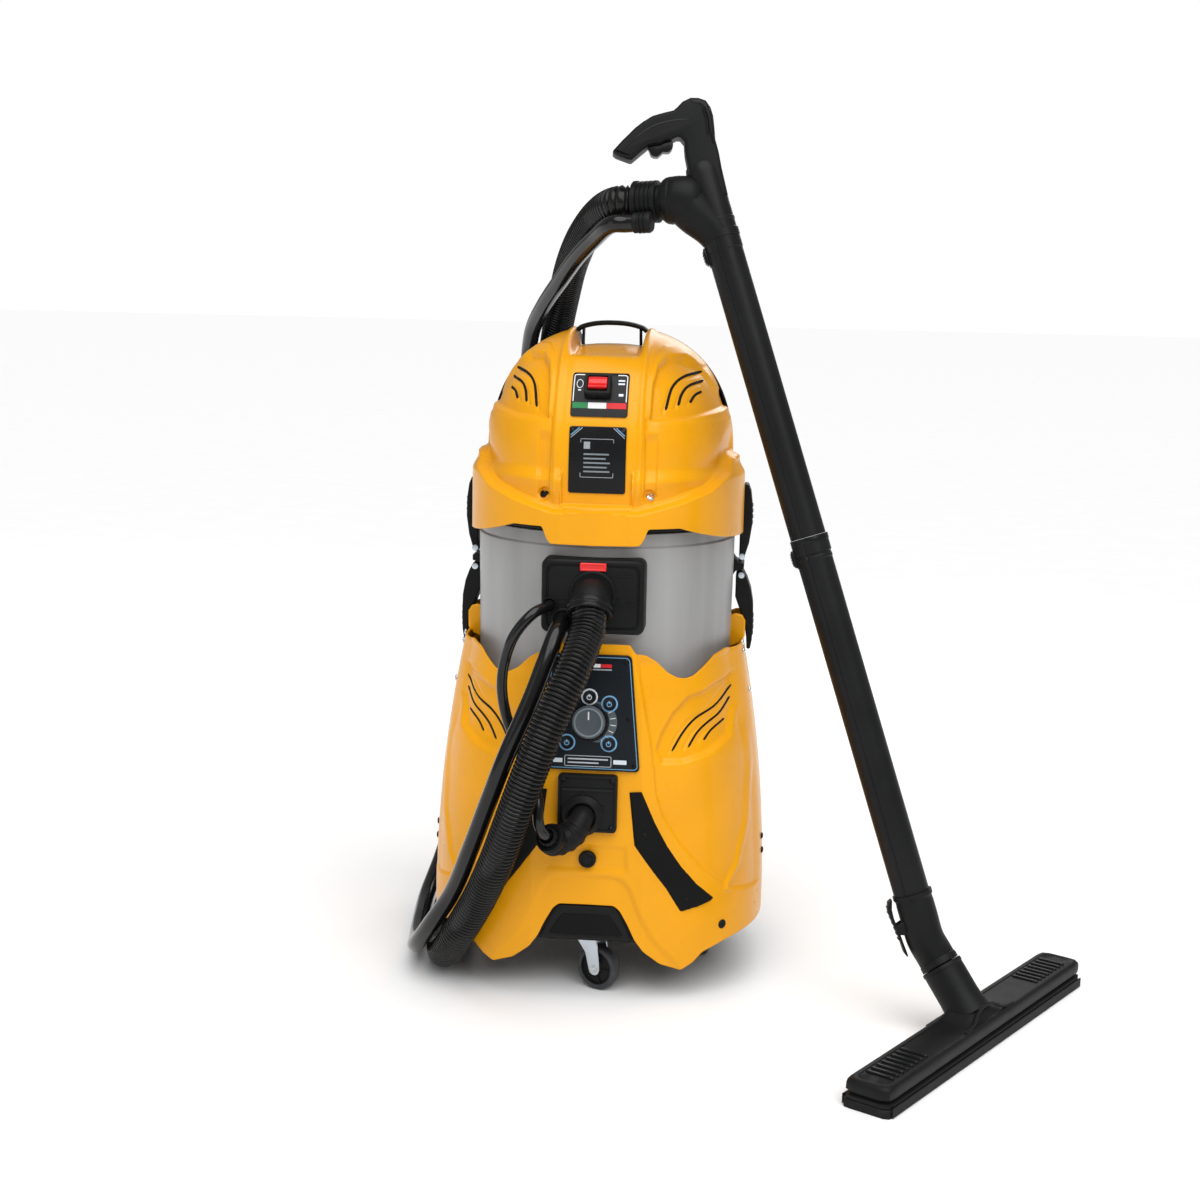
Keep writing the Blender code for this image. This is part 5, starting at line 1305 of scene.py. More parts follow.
# The framed label and its bars at the foot of the panel, their print left out, and the screws.
band("panel_frame", panel_face, dense(round_box(-0.0310, 0.0290, 0.3195, 0.3330, 0.0015, 2), 0.008), 0.0004,
     0.0034, 0.0045, SILVER, closed=True)
for row in range(2):
    panel_label(f"panel_line_{row}", -0.0270, 0.0250 - 0.012 * row, 0.3280 - 0.0048 * row,
                0.3298 - 0.0048 * row, SILVER)
for sign, side_name in ((-1, "left"), (1, "right")):
    low_x, high_x = sorted((sign * 0.0330 - 0.001, sign * 0.0500 - 0.001))
    panel_label(f"panel_side_bar_{side_name}", low_x, high_x, 0.3235, 0.3290, RING_PALE)
    for row, (x, z) in enumerate(((0.0445, 0.4555), (0.0500, 0.3830), (0.0590, 0.3225))):
        screw(f"panel_screw_{side_name}_{row}", panel_spot(sign * x, z, 0.0041), face_out(z), 0.0030, BLACK)

# ---------------------------------------------------------------- steam outlet
outlet_face = on_face(base_face, GAP)
stack("outlet_block", outlet_face, round_box(-0.0383, 0.0383, 0.2342, 0.3093, 0.0050),
      [(0, 0.0), (0, 0.0100), (0.0004, 0.0112), (0.0014, 0.0120), (0.0034, 0.0120), (0.0042, 0.0100)],
      BLACK, replaces=("steam_outlet_flange",))
band("outlet_step", outlet_face, [(-0.0330, 0.2905), (0.0330, 0.2905)], 0.0016, 0.0098, 0.0120,
     BLACK_SMOOTH)
for sign, side_name in ((-1, "left"), (1, "right")):
    for level, z in (("low", 0.2405), ("high", 0.3025)):
        screw(f"outlet_screw_{side_name}_{level}", Vector((sign * 0.0315, -(base_face(z) + 0.0100), z)),
              face_out(z), 0.0036, BLACK_SMOOTH)
OUTLET_X, OUTLET_CENTRE = -0.006, 0.256
OUTLET_Y = -(base_face(OUTLET_CENTRE) + GAP + 0.012)
funnel = [(0.0270, -0.0030), (0.0270, 0.0), (0.0245, 0.0016), (0.0225, 0.0052), (0.0212, 0.0060),
          (0.0185, 0.0058), (0.0175, 0.0040), (0.0175, -0.0030)]
piece("outlet_funnel", *turned(funnel, 56, (0, -1, 0), (OUTLET_X, OUTLET_Y, OUTLET_CENTRE), closed=True),
      BLACK)
for rib_index, a in enumerate((25, 90, 155)):
    a = math.radians(a)
    line = [(OUTLET_X + 0.0255 * math.cos(a), OUTLET_CENTRE + 0.0255 * math.sin(a)),
            (OUTLET_X + 0.0310 * math.cos(a), OUTLET_CENTRE + 0.0310 * math.sin(a))]
    band(f"outlet_rib_{rib_index}", outlet_face, line, 0.0011, 0.0098, 0.0122, BLACK)
connector_line = arc_path([
    (OUTLET_X, OUTLET_Y + 0.004, OUTLET_CENTRE),
    (OUTLET_X, OUTLET_Y - 0.010, OUTLET_CENTRE - 0.001),
    (-0.018, -0.240, 0.237),
    tuple(CONNECTOR_MOUTH - mouth_out * 0.018),
    tuple(CONNECTOR_MOUTH),
], 49)
connector_radii = []
for i in range(49):
    share = i / 48
    radius = float(np.interp(share, [0, 0.22, 0.40, 1.0], [0.0150, 0.0152, 0.0176, 0.0180]))
    if 0.30 < share < 0.86 and (i // 3) % 2:
        radius += 0.0012
    if share > 0.90:
        radius += 0.0014
    connector_radii.append(radius)
piece("steam_elbow", *swept(connector_line, connector_radii, 44), BLACK, replaces=("steam_connector",))
lip = [(0.0128, -0.0010), (0.0128, 0.0022), (0.0150, 0.0030), (0.0180, 0.0024), (0.0190, 0.0008),
       (0.0186, -0.0010)]
piece("steam_elbow_lip", *turned(lip, 44, mouth_out, CONNECTOR_MOUTH, closed=True), BLACK_SMOOTH)
nut = [(0.0095, 0.0), (0.0124, 0.0), (0.0124, 0.0075), (0.0112, 0.0095), (0.0095, 0.0095)]
piece("branch_nut",
      *turned(nut, 72, mouth_out, CONNECTOR_MOUTH, closed=True, wave=lambda a,
              h: 1 - 0.05 * (math.cos(12 * a) > 0)), BLACK)
drain = [(0, 0), (0.0115, 0), (0.0115, 0.0034), (0.0108, 0.0050), (0.0096, 0.0058), (0.0080, 0.0058),
         (0.0074, 0.0044), (0, 0.0042)]
DRAIN_Z = 0.1955
drain_spot = Vector((0.001, -(base_face(DRAIN_Z) + GAP), DRAIN_Z))
piece("drain_cap", *turned(drain, 40, face_out(DRAIN_Z), drain_spot), BLACK, replaces=("boiler_drain_cap",))
for turn_name, a in (("across", 0.4), ("up", 0.4 + math.pi / 2)):
    line = [(0.001 - 0.0070 * math.cos(a), DRAIN_Z - 0.0070 * math.sin(a)),
            (0.001 + 0.0070 * math.cos(a), DRAIN_Z + 0.0070 * math.sin(a))]
    band(f"drain_cap_bar_{turn_name}", on_face(base_face, GAP), line, 0.0011, 0.0040, 0.0056, BLACK_SMOOTH)

# ---------------------------------------------------------------- pads, bumper and base screws
RIGHT_PAD = [(0.0526, 0.2863), (0.0704, 0.2877), (0.0890, 0.2471), (0.1060, 0.2155), (0.1241, 0.1880),
             (0.1440, 0.1625), (0.1670, 0.1386), (0.1666, 0.1372), (0.1240, 0.1228), (0.1216, 0.1234),
             (0.1026, 0.1572), (0.0599, 0.2151)]


def skin_patch(name, skin, outline, rings, high, finish, slot=None):
    """A thin pad that follows a skin, filling an outline of (x, z) from its edge to a middle line."""
    outline = dense(outline, 0.004)
    centre_x = sum(p[0] for p in outline) / len(outline)
    centre_z = sum(p[1] for p in outline) / len(outline)
    ridge = [(0.0615, 0.2870), (0.0745, 0.2310), (0.0975, 0.1830), (0.1300, 0.1400), (0.1440, 0.1300)]
    if centre_x < 0:
        ridge = mirrored(ridge)
    ridge = resample(ridge, 60)
    count = len(outline)
    verts, faces = [], []
    for step in range(rings + 1):
        share = step / rings
        lift = -0.0010 + (high + 0.0010) * float(ease(share * 3.2))
        for x, z in outline:
            gap = np.hypot(ridge[:, 0] - x, ridge[:, 1] - z)
            foot = ridge[int(np.argmin(gap))]
            px, pz = x + (foot[0] - x) * share, z + (foot[1] - z) * share
            spot, out = skin.at(px, pz)
            verts.append(tuple(spot + out * lift))
    for step in range(rings):
        for i in range(count):
            j = (i + 1) % count
            faces.append((step * count + i, step * count + j, (step + 1) * count + j,
                          (step + 1) * count + i))
    return piece(name, verts, faces, finish, "machine", slot, smooth=50.0)


skin_patch("pad_right", base_front_skin, RIGHT_PAD, 8, 0.0026, PAD, "black_rubber")
skin_patch("pad_left", base_front_skin, mirrored(RIGHT_PAD), 8, 0.0026, PAD, "black_rubber")

BUMPER = [(-0.0575, 0.0835), (0.0575, 0.0835), (0.0600, 0.0860), (0.0468, 0.1150), (0.0392, 0.1275),
          (0.0365, 0.1300), (-0.0365, 0.1300), (-0.0392, 0.1275), (-0.0468, 0.1150), (-0.0600, 0.0860)]
bumper_face = on_face(base_face, 0.0)
stack("front_bumper", bumper_face, BUMPER,
      [(0, -0.0300), (0, -0.0040), (0.0010, -0.0022), (0.0030, -0.0012)], BLACK)
stack("front_bumper_panel", bumper_face, [(x * 0.80, 0.0900 + (z - 0.0835) * 0.62) for x, z in BUMPER],
      [(0, -0.0030), (0, -0.0006), (0.0008, 0.0002)], PAD)

cap_profile = [(0, 0), (0.0062, 0), (0.0062, 0.0008), (0.0054, 0.0020), (0.0038, 0.0022), (0.0032, 0.0012),
               (0, 0.0010)]
for side_name, sign in (("left", -1), ("right", 1)):
    spot, out = base_front_skin.at(sign * 0.1769, 0.0976)
    piece(f"base_cap_{side_name}", *turned(cap_profile, 28, out, spot), BLACK)
    for row, (z, finish) in enumerate(((0.4555, STEEL), (0.4435, STEEL), (0.3905, STEEL), (0.1850, BLACK),
                                       (0.1650, BLACK))):
        spot = Vector((sign * (base_half(z) * (1 - 0.16 ** BASE_POWER) ** (1 / BASE_POWER) + 0.0004),
                       -0.16 * base_front(z), z))
        screw(f"seam_screw_{side_name}_{row}", spot, Vector((sign, -0.10, 0.0)).normalized(), 0.0045,
              finish)

# ---------------------------------------------------------------- casters
CASTER_TOP = 0.0805
TRAIL = 0.0155
WHEEL_RADIUS = 0.030
AXLE = WHEEL_RADIUS - CASTER_TOP
CASTERS = {"front": ((0.0, -0.150), -27.0), "right": ((0.150, 0.010), -100.0),
           "left": ((-0.150, 0.010), 80.0), "rear": ((0.0, 0.150), 60.0)}
CHEEK = [(-0.0140, -0.0065), (0.0175, -0.0065), (0.0205, -0.0180), (0.0235, -0.0400), (0.0243, -0.0505),
         (0.0225, -0.0560), (0.0185, -0.0588), (0.0140, -0.0588), (0.0098, -0.0565), (0.0075, -0.0505),
         (0.0020, -0.0300), (-0.0090, -0.0160)]
for caster_name, ((spot_x, spot_y), heading) in CASTERS.items():
    turn = Matrix.Rotation(math.radians(heading), 3, "Z")
    hub = Vector((spot_x, spot_y, CASTER_TOP))

    def placed(shape, turn=turn, hub=hub):
        return [tuple(hub + turn @ Vector(v)) for v in shape[0]], shape[1]

    body = f"{caster_name}_caster"
    race = [(0, 0), (0.0190, 0), (0.0193, -0.0010), (0.0190, -0.0028), (0.0172, -0.0034), (0.0168, -0.0058),
            (0.0145, -0.0072), (0.0130, -0.0100), (0, -0.0100)]
    piece(f"{body}_race", *placed(turned(race, 48)), ZINC, body, replaces=(f"caster_{caster_name}_fork",))
    for side_name, low_y, high_y in (("a", -0.0128, -0.0106), ("b", 0.0106, 0.0128)):
        cheek = piece(f"{body}_cheek_{side_name}", *placed(prism(CHEEK, low_y, high_y, "xz")), ZINC, body)
        rounding(cheek, 0.0006, 2)
        face = 1 if low_y > 0 else -1
        nut = [(0, 0), (0.0048, 0), (0.0050, 0.0006), (0.0050, 0.0014), (0.0036, 0.0016), (0.0034, 0.0030),
               (0, 0.0034)]
        axle_spot = Vector((TRAIL, face * 0.0128, AXLE))
        piece(f"{body}_axle_{side_name}", *placed(turned(nut, 24, (0, face, 0), axle_spot)), STEEL, body)
    crown = [(-0.0145, -0.0128), (0.0180, -0.0128), (0.0180, 0.0128), (-0.0145, 0.0128)]
    bridge = piece(f"{body}_crown", *placed(prism(crown, -0.0100, -0.0068)), ZINC, body)
    rounding(bridge, 0.0012, 3)

    wheel = f"{caster_name}_wheel"
    tyre = [(0.0225, -0.0072), (0.0262, -0.0084), (0.0282, -0.0078), (0.0295, -0.0058), (0.0300, -0.0030),
            (0.0300, 0.0030), (0.0295, 0.0058), (0.0282, 0.0078), (0.0262, 0.0084), (0.0225, 0.0072)]
    core = [(0.0048, -0.0088), (0.0085, -0.0088), (0.0100, -0.0066), (0.0205, -0.0054), (0.0218, -0.0078),
            (0.0228, -0.0078), (0.0228, 0.0078), (0.0218, 0.0078), (0.0205, 0.0054), (0.0100, 0.0066),
            (0.0085, 0.0088), (0.0048, 0.0088)]
    centre = Vector((TRAIL, 0, AXLE))
    piece(f"{wheel}_tyre", *placed(turned(tyre, 72, (0, 1, 0), centre, closed=True)), TREAD, wheel,
          replaces=(f"caster_{caster_name}_wheel",))
    piece(f"{wheel}_core", *placed(turned(core, 48, (0, 1, 0), centre, closed=True)), BLACK, wheel,
          slot="black_rubber")
    for spoke in range(5):
        a = math.radians(72 * spoke)
        arm = [(math.cos(a) * r - math.sin(a) * w, math.sin(a) * r + math.cos(a) * w) for r,
               w in ((0.0090, -0.0014), (0.0212, -0.0010), (0.0212, 0.0010), (0.0090, 0.0014))]
        rib_shape = prism([(x + TRAIL, z + AXLE) for x, z in arm], -0.0078, 0.0078, "xz")
        rounding(piece(f"{wheel}_rib_{spoke}", *placed(rib_shape), BLACK, wheel, slot="black_rubber"),
                 0.0005, 2)

# ---------------------------------------------------------------- hose cuff and steam union
cuff_profile = [(0, 0.0), (0.0205, 0.0), (0.0210, 0.0006), (0.0210, 0.0050), (0.0262, 0.0056),
                (0.0268, 0.0064)]
for ring in range(4):
    start = 0.0075 + 0.0058 * ring
    cuff_profile += [(0.0268, start), (0.0268, start + 0.0026), (0.0252, start + 0.0034),
                     (0.0252, start + 0.0050)]
cuff_profile += [(0.0276, 0.0312), (0.0278, 0.0322), (0.0278, 0.0368), (0.0272, 0.0375), (0.0238, 0.0375),
                 (0.0238, 0.0275), (0, 0.0275)]
piece("cuff_body", *turned(cuff_profile, 64, CUFF_OUT, CUFF_START), BLACK, replaces=("hose_cuff",))
union_profile = [(0, 0), (0.0115, 0), (0.0122, 0.0008), (0.0135, 0.0030)]
for ring in range(3):
    start = 0.0040 + 0.0052 * ring
    union_profile += [(0.0136, start), (0.0136, start + 0.0026), (0.0124, start + 0.0032),
                      (0.0124, start + 0.0046)]
union_profile += [(0.0130, 0.0200), (0.0130, 0.0232), (0.0124, 0.0240), (0, 0.0240)]
piece("steam_union_body", *turned(union_profile, 40, CUFF_OUT, UNION_START), BLACK,
      replaces=("steam_hose_union",))

# ---------------------------------------------------------------- wand
TUBE_RADIUS = 0.0225
MID_JOINT = -0.3945
TUBE_END = -0.8645
BULGE_RIGHT, BULGE_UP = BULGE


def on_wand(shape):
    """Puts a shape made of (right, back, up) from the top of the upper tube into the frame."""
    return [tuple(wand_point(v[0], v[2], v[1])) for v in shape[0]], shape[1]


# The grip: side outlines swept over a rounded thickness, so that every edge is soft.
GRIP = [(0.0215, 0.0500), (0.0235, 0.0850), (0.0255, 0.1050), (0.0258, 0.1213), (0.0290, 0.1370),
        (0.0315, 0.1510), (0.0313, 0.1620), (0.0280, 0.1720), (0.0200, 0.1778), (0.0103, 0.1808),
        (-0.0010, 0.1790), (-0.0085, 0.1745), (-0.0150, 0.1715), (-0.0290, 0.1722), (-0.0425, 0.1722),
        (-0.0560, 0.1685), (-0.0675, 0.1640), (-0.0880, 0.1530), (-0.1020, 0.1445), (-0.1035, 0.1420),
        (-0.1010, 0.1380), (-0.0860, 0.1268), (-0.0830, 0.1262), (-0.0700, 0.1320), (-0.0565, 0.1378),
        (-0.0490, 0.1368), (-0.0420, 0.1355), (-0.0350, 0.1372), (-0.0270, 0.1362), (-0.0200, 0.1378),
        (-0.0158, 0.1362), (-0.0128, 0.1290), (-0.0145, 0.1215), (-0.0160, 0.1140), (-0.0178, 0.0938),
        (-0.0215, 0.0500)]


def padded_plate(name, outline, half, soft, finish, body="machine", slot=None, replaces=(), steps=5,
                 centre=0.0):
    """A plate of the wand with quarter-round edges, its outline in (right, up)."""
    table = np.array(outline)
    count = len(table)
    ahead = np.roll(table, -1, 0) - np.roll(table, 1, 0)
    ahead /= np.maximum(np.hypot(ahead[:, 0], ahead[:, 1]), 1e-9)[:, None]
    inward = np.stack([-ahead[:, 1], ahead[:, 0]], axis=1)
    area_sign = np.sum(table[:, 0] * np.roll(table[:, 1], -1) - np.roll(table[:, 0], -1) * table[:, 1])
    inward *= 1 if area_sign > 0 else -1
    levels = []
    for i in range(steps + 1):
        a = math.pi / 2 * i / steps
        levels.append((soft * (1 - math.sin(a)), half - soft * (1 - math.cos(a))))
    rows = [(inset, -height) for inset, height in levels] + [(inset, height) for inset,
                                                             height in reversed(levels)]
    rows = sorted(rows, key=lambda row: row[1])
    verts, faces = [], []
    for inset, height in rows:
        for (u, w), (du, dw) in zip(table, inward):
            verts.append((u + du * inset, height + centre, w + dw * inset))
    for row in range(len(rows) - 1):
        for i in range(count):
            j = (i + 1) % count
            faces.append((row * count + i, row * count + j, (row + 1) * count + j, (row + 1) * count + i))
    faces.append(tuple(reversed(range(count))))
    faces.append(tuple(range((len(rows) - 1) * count, len(rows) * count)))
    return piece(name, *on_wand((verts, faces)), finish, body, slot, smooth=40.0, replaces=replaces)


padded_plate("wand_grip", GRIP, 0.0165, 0.0055, BLACK, "wand", replaces=("wand_handle",))
RIDGE = [(0.0245, 0.1150), (0.0262, 0.1300), (0.0288, 0.1450), (0.0292, 0.1600), (0.0262, 0.1692),
         (0.0190, 0.1752), (0.0110, 0.1775), (0.0080, 0.1750), (0.0165, 0.1690), (0.0218, 0.1600),
         (0.0222, 0.1480), (0.0195, 0.1330), (0.0190, 0.1180)]
padded_plate("wand_grip_cap", RIDGE, 0.0172, 0.0020, BLACK_SMOOTH, "wand")
for side_name, side in (("front", -1), ("rear", 1)):
    for row in range(3):
        crest = [(0.0172 + 0.0036 * row, 0.1290), (0.0190 + 0.0036 * row, 0.1290),
                 (0.0222 + 0.0034 * row, 0.1480), (0.0218 + 0.0034 * row, 0.1640),
                 (0.0202 + 0.0034 * row, 0.1640), (0.0206 + 0.0034 * row, 0.1480)]
        padded_plate(f"wand_grip_rib_{side_name}_{row}", crest, 0.0008, 0.0006, BLACK, "wand", steps=2,
                     centre=side * 0.0174)
for side_name, side in (("front", -1), ("rear", 1)):
    line = [(-0.0900, 0.1395), (-0.0660, 0.1520), (-0.0430, 0.1585), (-0.0150, 0.1575), (0.0060, 0.1520)]
    line = smooth_line(line, 24)
    verts, faces = [], []
    for i, (u, w) in enumerate(line):
        swell = 0.0007 + 0.0012 * math.sin(math.pi * i / 23)
        for du, dy in ((-swell, 0.0), (0.0, 0.0007), (swell, 0.0)):
            verts.append((u, side * (0.0163 + dy), w + du))
        verts.append((u, side * 0.0150, w))
    for i in range(23):
        for j in range(4):
            k = (j + 1) % 4
            faces.append((4 * i + j, 4 * i + k, 4 * i + 4 + k, 4 * i + 4 + j))
    faces += [(0, 1, 2, 3), (92, 95, 94, 93)]
    piece(f"wand_grip_line_{side_name}", *on_wand((verts, faces)), BLACK_SMOOTH, "wand")

stem = [(0, 0.0), (0.0236, 0.0), (0.0240, 0.0006), (0.0240, 0.0090), (0.0233, 0.0100), (0.0225, 0.0105),
        (0.0225, 0.0200), (0.0232, 0.0210), (0.0232, 0.0240), (0.0225, 0.0250), (0.0224, 0.0860),
        (0.0200, 0.0960), (0.0150, 0.1010), (0, 0.1020)]
piece("wand_stem", *on_wand(turned(stem, 64)), TUBE_BLACK, "wand")
bulge_spot = wand_point(BULGE_RIGHT, BULGE_UP)
bulge_profile = [(0, -0.0300), (0.0110, -0.0292), (0.0200, -0.0250), (0.0265, -0.0170), (0.0297, -0.0060),
                 (0.0306, 0.0040), (0.0303, 0.0110), (0.0298, 0.0118), (0.0298, 0.0138), (0.0302, 0.0146),
                 (0.0292, 0.0200), (0.0275, 0.0230), (0.0255, 0.0245), (0.0250, 0.0258), (0, 0.0258)]
piece("wand_swivel_ball", *turned(bulge_profile, 72, CUFF_OUT, bulge_spot), BLACK, "wand")
pod_line = arc_path([(BULGE_RIGHT, 0, BULGE_UP), (-0.0235, 0, 0.0420), (-0.0100, 0, 0.0200),
                     (-0.0020, 0, 0.0030)], 30)
pod_radii = [float(np.interp(i, [0, 12, 22, 29], [0.0296, 0.0278, 0.0250, 0.0236])) for i in range(30)]
piece("wand_swivel_pod", *on_wand(swept(pod_line, pod_radii, 56)), BLACK, "wand")

trigger = [(-0.0585, 0.1372), (-0.0430, 0.1366), (-0.0270, 0.1370), (-0.0268, 0.1310), (-0.0300, 0.1262),
           (-0.0340, 0.1236), (-0.0385, 0.1246), (-0.0420, 0.1258), (-0.0460, 0.1236), (-0.0500, 0.1219),
           (-0.0548, 0.1236), (-0.0578, 0.1268)]
padded_plate("trigger_body", trigger, 0.0080, 0.0014, BLACK_SMOOTH, "trigger", slot="grey_plastic",
             replaces=("steam_trigger",), steps=3)


DUCT_ANGLES = sorted([2 * math.pi * i / 72 for i in range(72)] + [math.radians(a) for a in (236, 237, 238,
                                                                                            239, 241, 242,
                                                                                            243, 244)])


def duct_swell(angle):
    """The steam duct runs down the left of the tube as a low lobe that ends in a crease."""
    lobe = float(ease((angle - 160) / 20) - ease((angle - 236) / 5))
    return 1 + 0.042 * lobe - 0.030 * math.exp(-((angle - 240.5) / 2.6) ** 2)


def tube_piece(name, low, high, replaces, collars):
    """One oval tube of the wand with the steam duct's ridge along its front left, and its collars."""
    levels = sorted({low, high, *(c for pair in collars for c in pair[:2])})
    cuts = []
    for level in levels:
        cuts += [level - 0.0006, level + 0.0006] if low < level < high else [level]
    section = [(a, duct_swell(math.degrees(a))) for a in DUCT_ANGLES]
    verts, faces = [], []
    rows = []
    for level in cuts:
        grow = max((extra for start, end, extra in collars if start <= level <= end), default=0.0)
        rows.append((level, grow))
    outer = rows + [(high, -0.0022), (low, -0.0022)]
    for level, grow in outer:
        for a, swell in section:
            r = TUBE_RADIUS * (swell if grow > -0.002 else 1.0) + grow
            verts.append((r * math.cos(a), r * math.sin(a), level))
    count = len(section)
    for row in range(len(outer)):
        following = (row + 1) % len(outer)
        for i in range(count):
            j = (i + 1) % count
            faces.append((row * count + i, row * count + j, following * count + j, following * count + i))
    return piece(name, *on_wand((verts, faces)), TUBE_BLACK, "wand", smooth=30.0, replaces=replaces)


tube_piece("tube_upper", MID_JOINT + 0.0003, -0.0003, ("upper_tube",), [(-0.016, -0.0003, 0.0008)])
tube_piece("tube_lower", TUBE_END + 0.0003, MID_JOINT, ("lower_tube",),
           [(MID_JOINT - 0.022, MID_JOINT, 0.0014), (MID_JOINT - 0.030, MID_JOINT - 0.0255, 0.0008)])
joint_ring = [(0.0232, -0.0040), (0.0244, -0.0040), (0.0247, -0.0030), (0.0247, 0.0030), (0.0244, 0.0040),
              (0.0232, 0.0040)]
ring_shape = turned(joint_ring, 64, closed=True)
piece("tube_joint_ring",
      *on_wand(([(x, y, z + MID_JOINT - 0.004) for x, y, z in ring_shape[0]], ring_shape[1])), BLACK_SMOOTH,
      "wand")
for clip_name, clip_top, body in (("upper", -0.006, "clip_upper"), ("lower", -0.406, "clip_lower")):
    outline = [(-0.0243, clip_top), (-0.0243, clip_top - 0.0225), (-0.0262, clip_top - 0.0225),
               (-0.0288, clip_top - 0.0190), (-0.0288, clip_top - 0.0045), (-0.0268, clip_top)]
    padded_plate(f"clip_{clip_name}_button", outline, 0.0060, 0.0009, BLACK_SMOOTH, body,
                 replaces=(f"{clip_name}_tube_clip",), steps=3)
    for row in range(3):
        bar = block((0.0010, 0.0100, 0.0012), (-0.0290, 0, clip_top - 0.0080 - 0.0036 * row))
        rounding(piece(f"clip_{clip_name}_bar_{row}", *on_wand(bar), BLACK, body), 0.0003, 2)
    frame_line = [(-0.0218, clip_top + 0.0020), (-0.0218, clip_top - 0.0245), (-0.0240, clip_top - 0.0245),
                  (-0.0240, clip_top + 0.0020)]
    padded_plate(f"clip_{clip_name}_seat", frame_line, 0.0080, 0.0006, BLACK, "wand", steps=2)

# The elbow at the tube's foot, its collars, and the ribbed release lever.
ELBOW_RADIUS = 0.0245
elbow_seam = wand_point(0.0095, -0.964)
TOOL_LEFT = vector(0.3545, -0.4964, 0.0)
TOOL_RIGHT = vector(0.6405, -0.0368, 0.0)
tool_centre = (TOOL_LEFT + TOOL_RIGHT) / 2
neck_out = (tool_centre + Vector((0, 0, 0.030)) - elbow_seam).normalized()
elbow_line = arc_path([wand_point(0, TUBE_END), wand_point(0, TUBE_END - 0.030),
                       wand_point(0, TUBE_END - 0.060), elbow_seam - neck_out * 0.016,
                       elbow_seam - neck_out * 0.0003], 60)
elbow_radii = []
for i in range(60):
    share = i / 59
    radius = ELBOW_RADIUS - 0.0004
    if share < 0.055:
        radius = 0.0254
    elif 0.075 < share < 0.12:
        radius = 0.0238
    elif share > 0.93:
        radius = 0.0252
    elbow_radii.append(radius)
piece("elbow_body", *swept(elbow_line, elbow_radii, 56), BLACK, "wand", replaces=("wand_elbow",))
lever = [(-0.0275, -0.8660), (-0.0330, -0.8680), (-0.0365, -0.8780), (-0.0358, -0.8900), (-0.0335, -0.9050),
         (-0.0322, -0.9200), (-0.0315, -0.9350), (-0.0295, -0.9402), (-0.0275, -0.9402), (-0.0290, -0.9200),
         (-0.0300, -0.9050), (-0.0318, -0.8900), (-0.0312, -0.8780)]
padded_plate("lever_body", lever, 0.0080, 0.0010, BLACK, "lever", replaces=("elbow_lever",), steps=3)
for row in range(7):
    up = -0.8745 - 0.0070 * row
    right = float(np.interp(-up, [0.868, 0.878, 0.905, 0.935], [-0.0330, -0.0366, -0.0336, -0.0316])) - 0.0004
    bar = block((0.0016, 0.0136, 0.0022), (right, 0, up))
    rounding(piece(f"lever_rib_{row}", *on_wand(bar), BLACK_SMOOTH, "lever"), 0.0005, 2)
for side_name, side in (("front", -1), ("rear", 1)):
    ear = [(-0.0215, -0.8960), (-0.0330, -0.9000), (-0.0342, -0.9050), (-0.0330, -0.9100),
           (-0.0215, -0.9140)]
    padded_plate(f"lever_ear_{side_name}", ear, 0.0012, 0.0004, BLACK, "wand", steps=2,
                 centre=side * 0.0096)

# ---------------------------------------------------------------- floor tool
tool_along = (TOOL_RIGHT - TOOL_LEFT).normalized()
tool_across = Vector((0, 0, 1)).cross(tool_along)
TOOL_HALF = (TOOL_RIGHT - TOOL_LEFT).length / 2


def on_tool(shape):
    """Puts a shape made of (along, across, up) from the tool's middle into the frame."""
    return [tuple(tool_centre + tool_along * x + tool_across * y + Vector((0, 0, z))) for x, y,
            z in shape[0]], shape[1]


def tool_place(x, y, height):
    return tool_centre + tool_along * x + tool_across * y + Vector((0, 0, height))


def plan(half_x, low_y, high_y, corner, count):
    """A rounded rectangle with a set number of points, the first at its right-hand end."""
    outline = round_box(-half_x, half_x, low_y, high_y, corner, 8)
    closed = [*outline, outline[0]]
    return [tuple(p) for p in resample(closed, count + 1)[:-1]]


def lofted(name, loops, finish, replaces=()):
    """Loops of (x, y, height) with one number of points, joined and capped at both ends."""
    count = len(loops[0])
    verts = [tuple(tool_place(*p)) for loop in loops for p in loop]
    faces = [tuple(reversed(range(count))), tuple(range((len(loops) - 1) * count, len(loops) * count))]
    for row in range(len(loops) - 1):
        for i in range(count):
            j = (i + 1) % count
            faces.append((row * count + i, row * count + j, (row + 1) * count + j, (row + 1) * count + i))
    return piece(name, verts, faces, finish, "tool", smooth=40.0, replaces=replaces)


def level(half_x, low_y, high_y, height, corner=0.010, tilt=0.0):
    return [(x, y, height - tilt * (y - low_y)) for x, y in plan(half_x, low_y, high_y, corner, 120)]


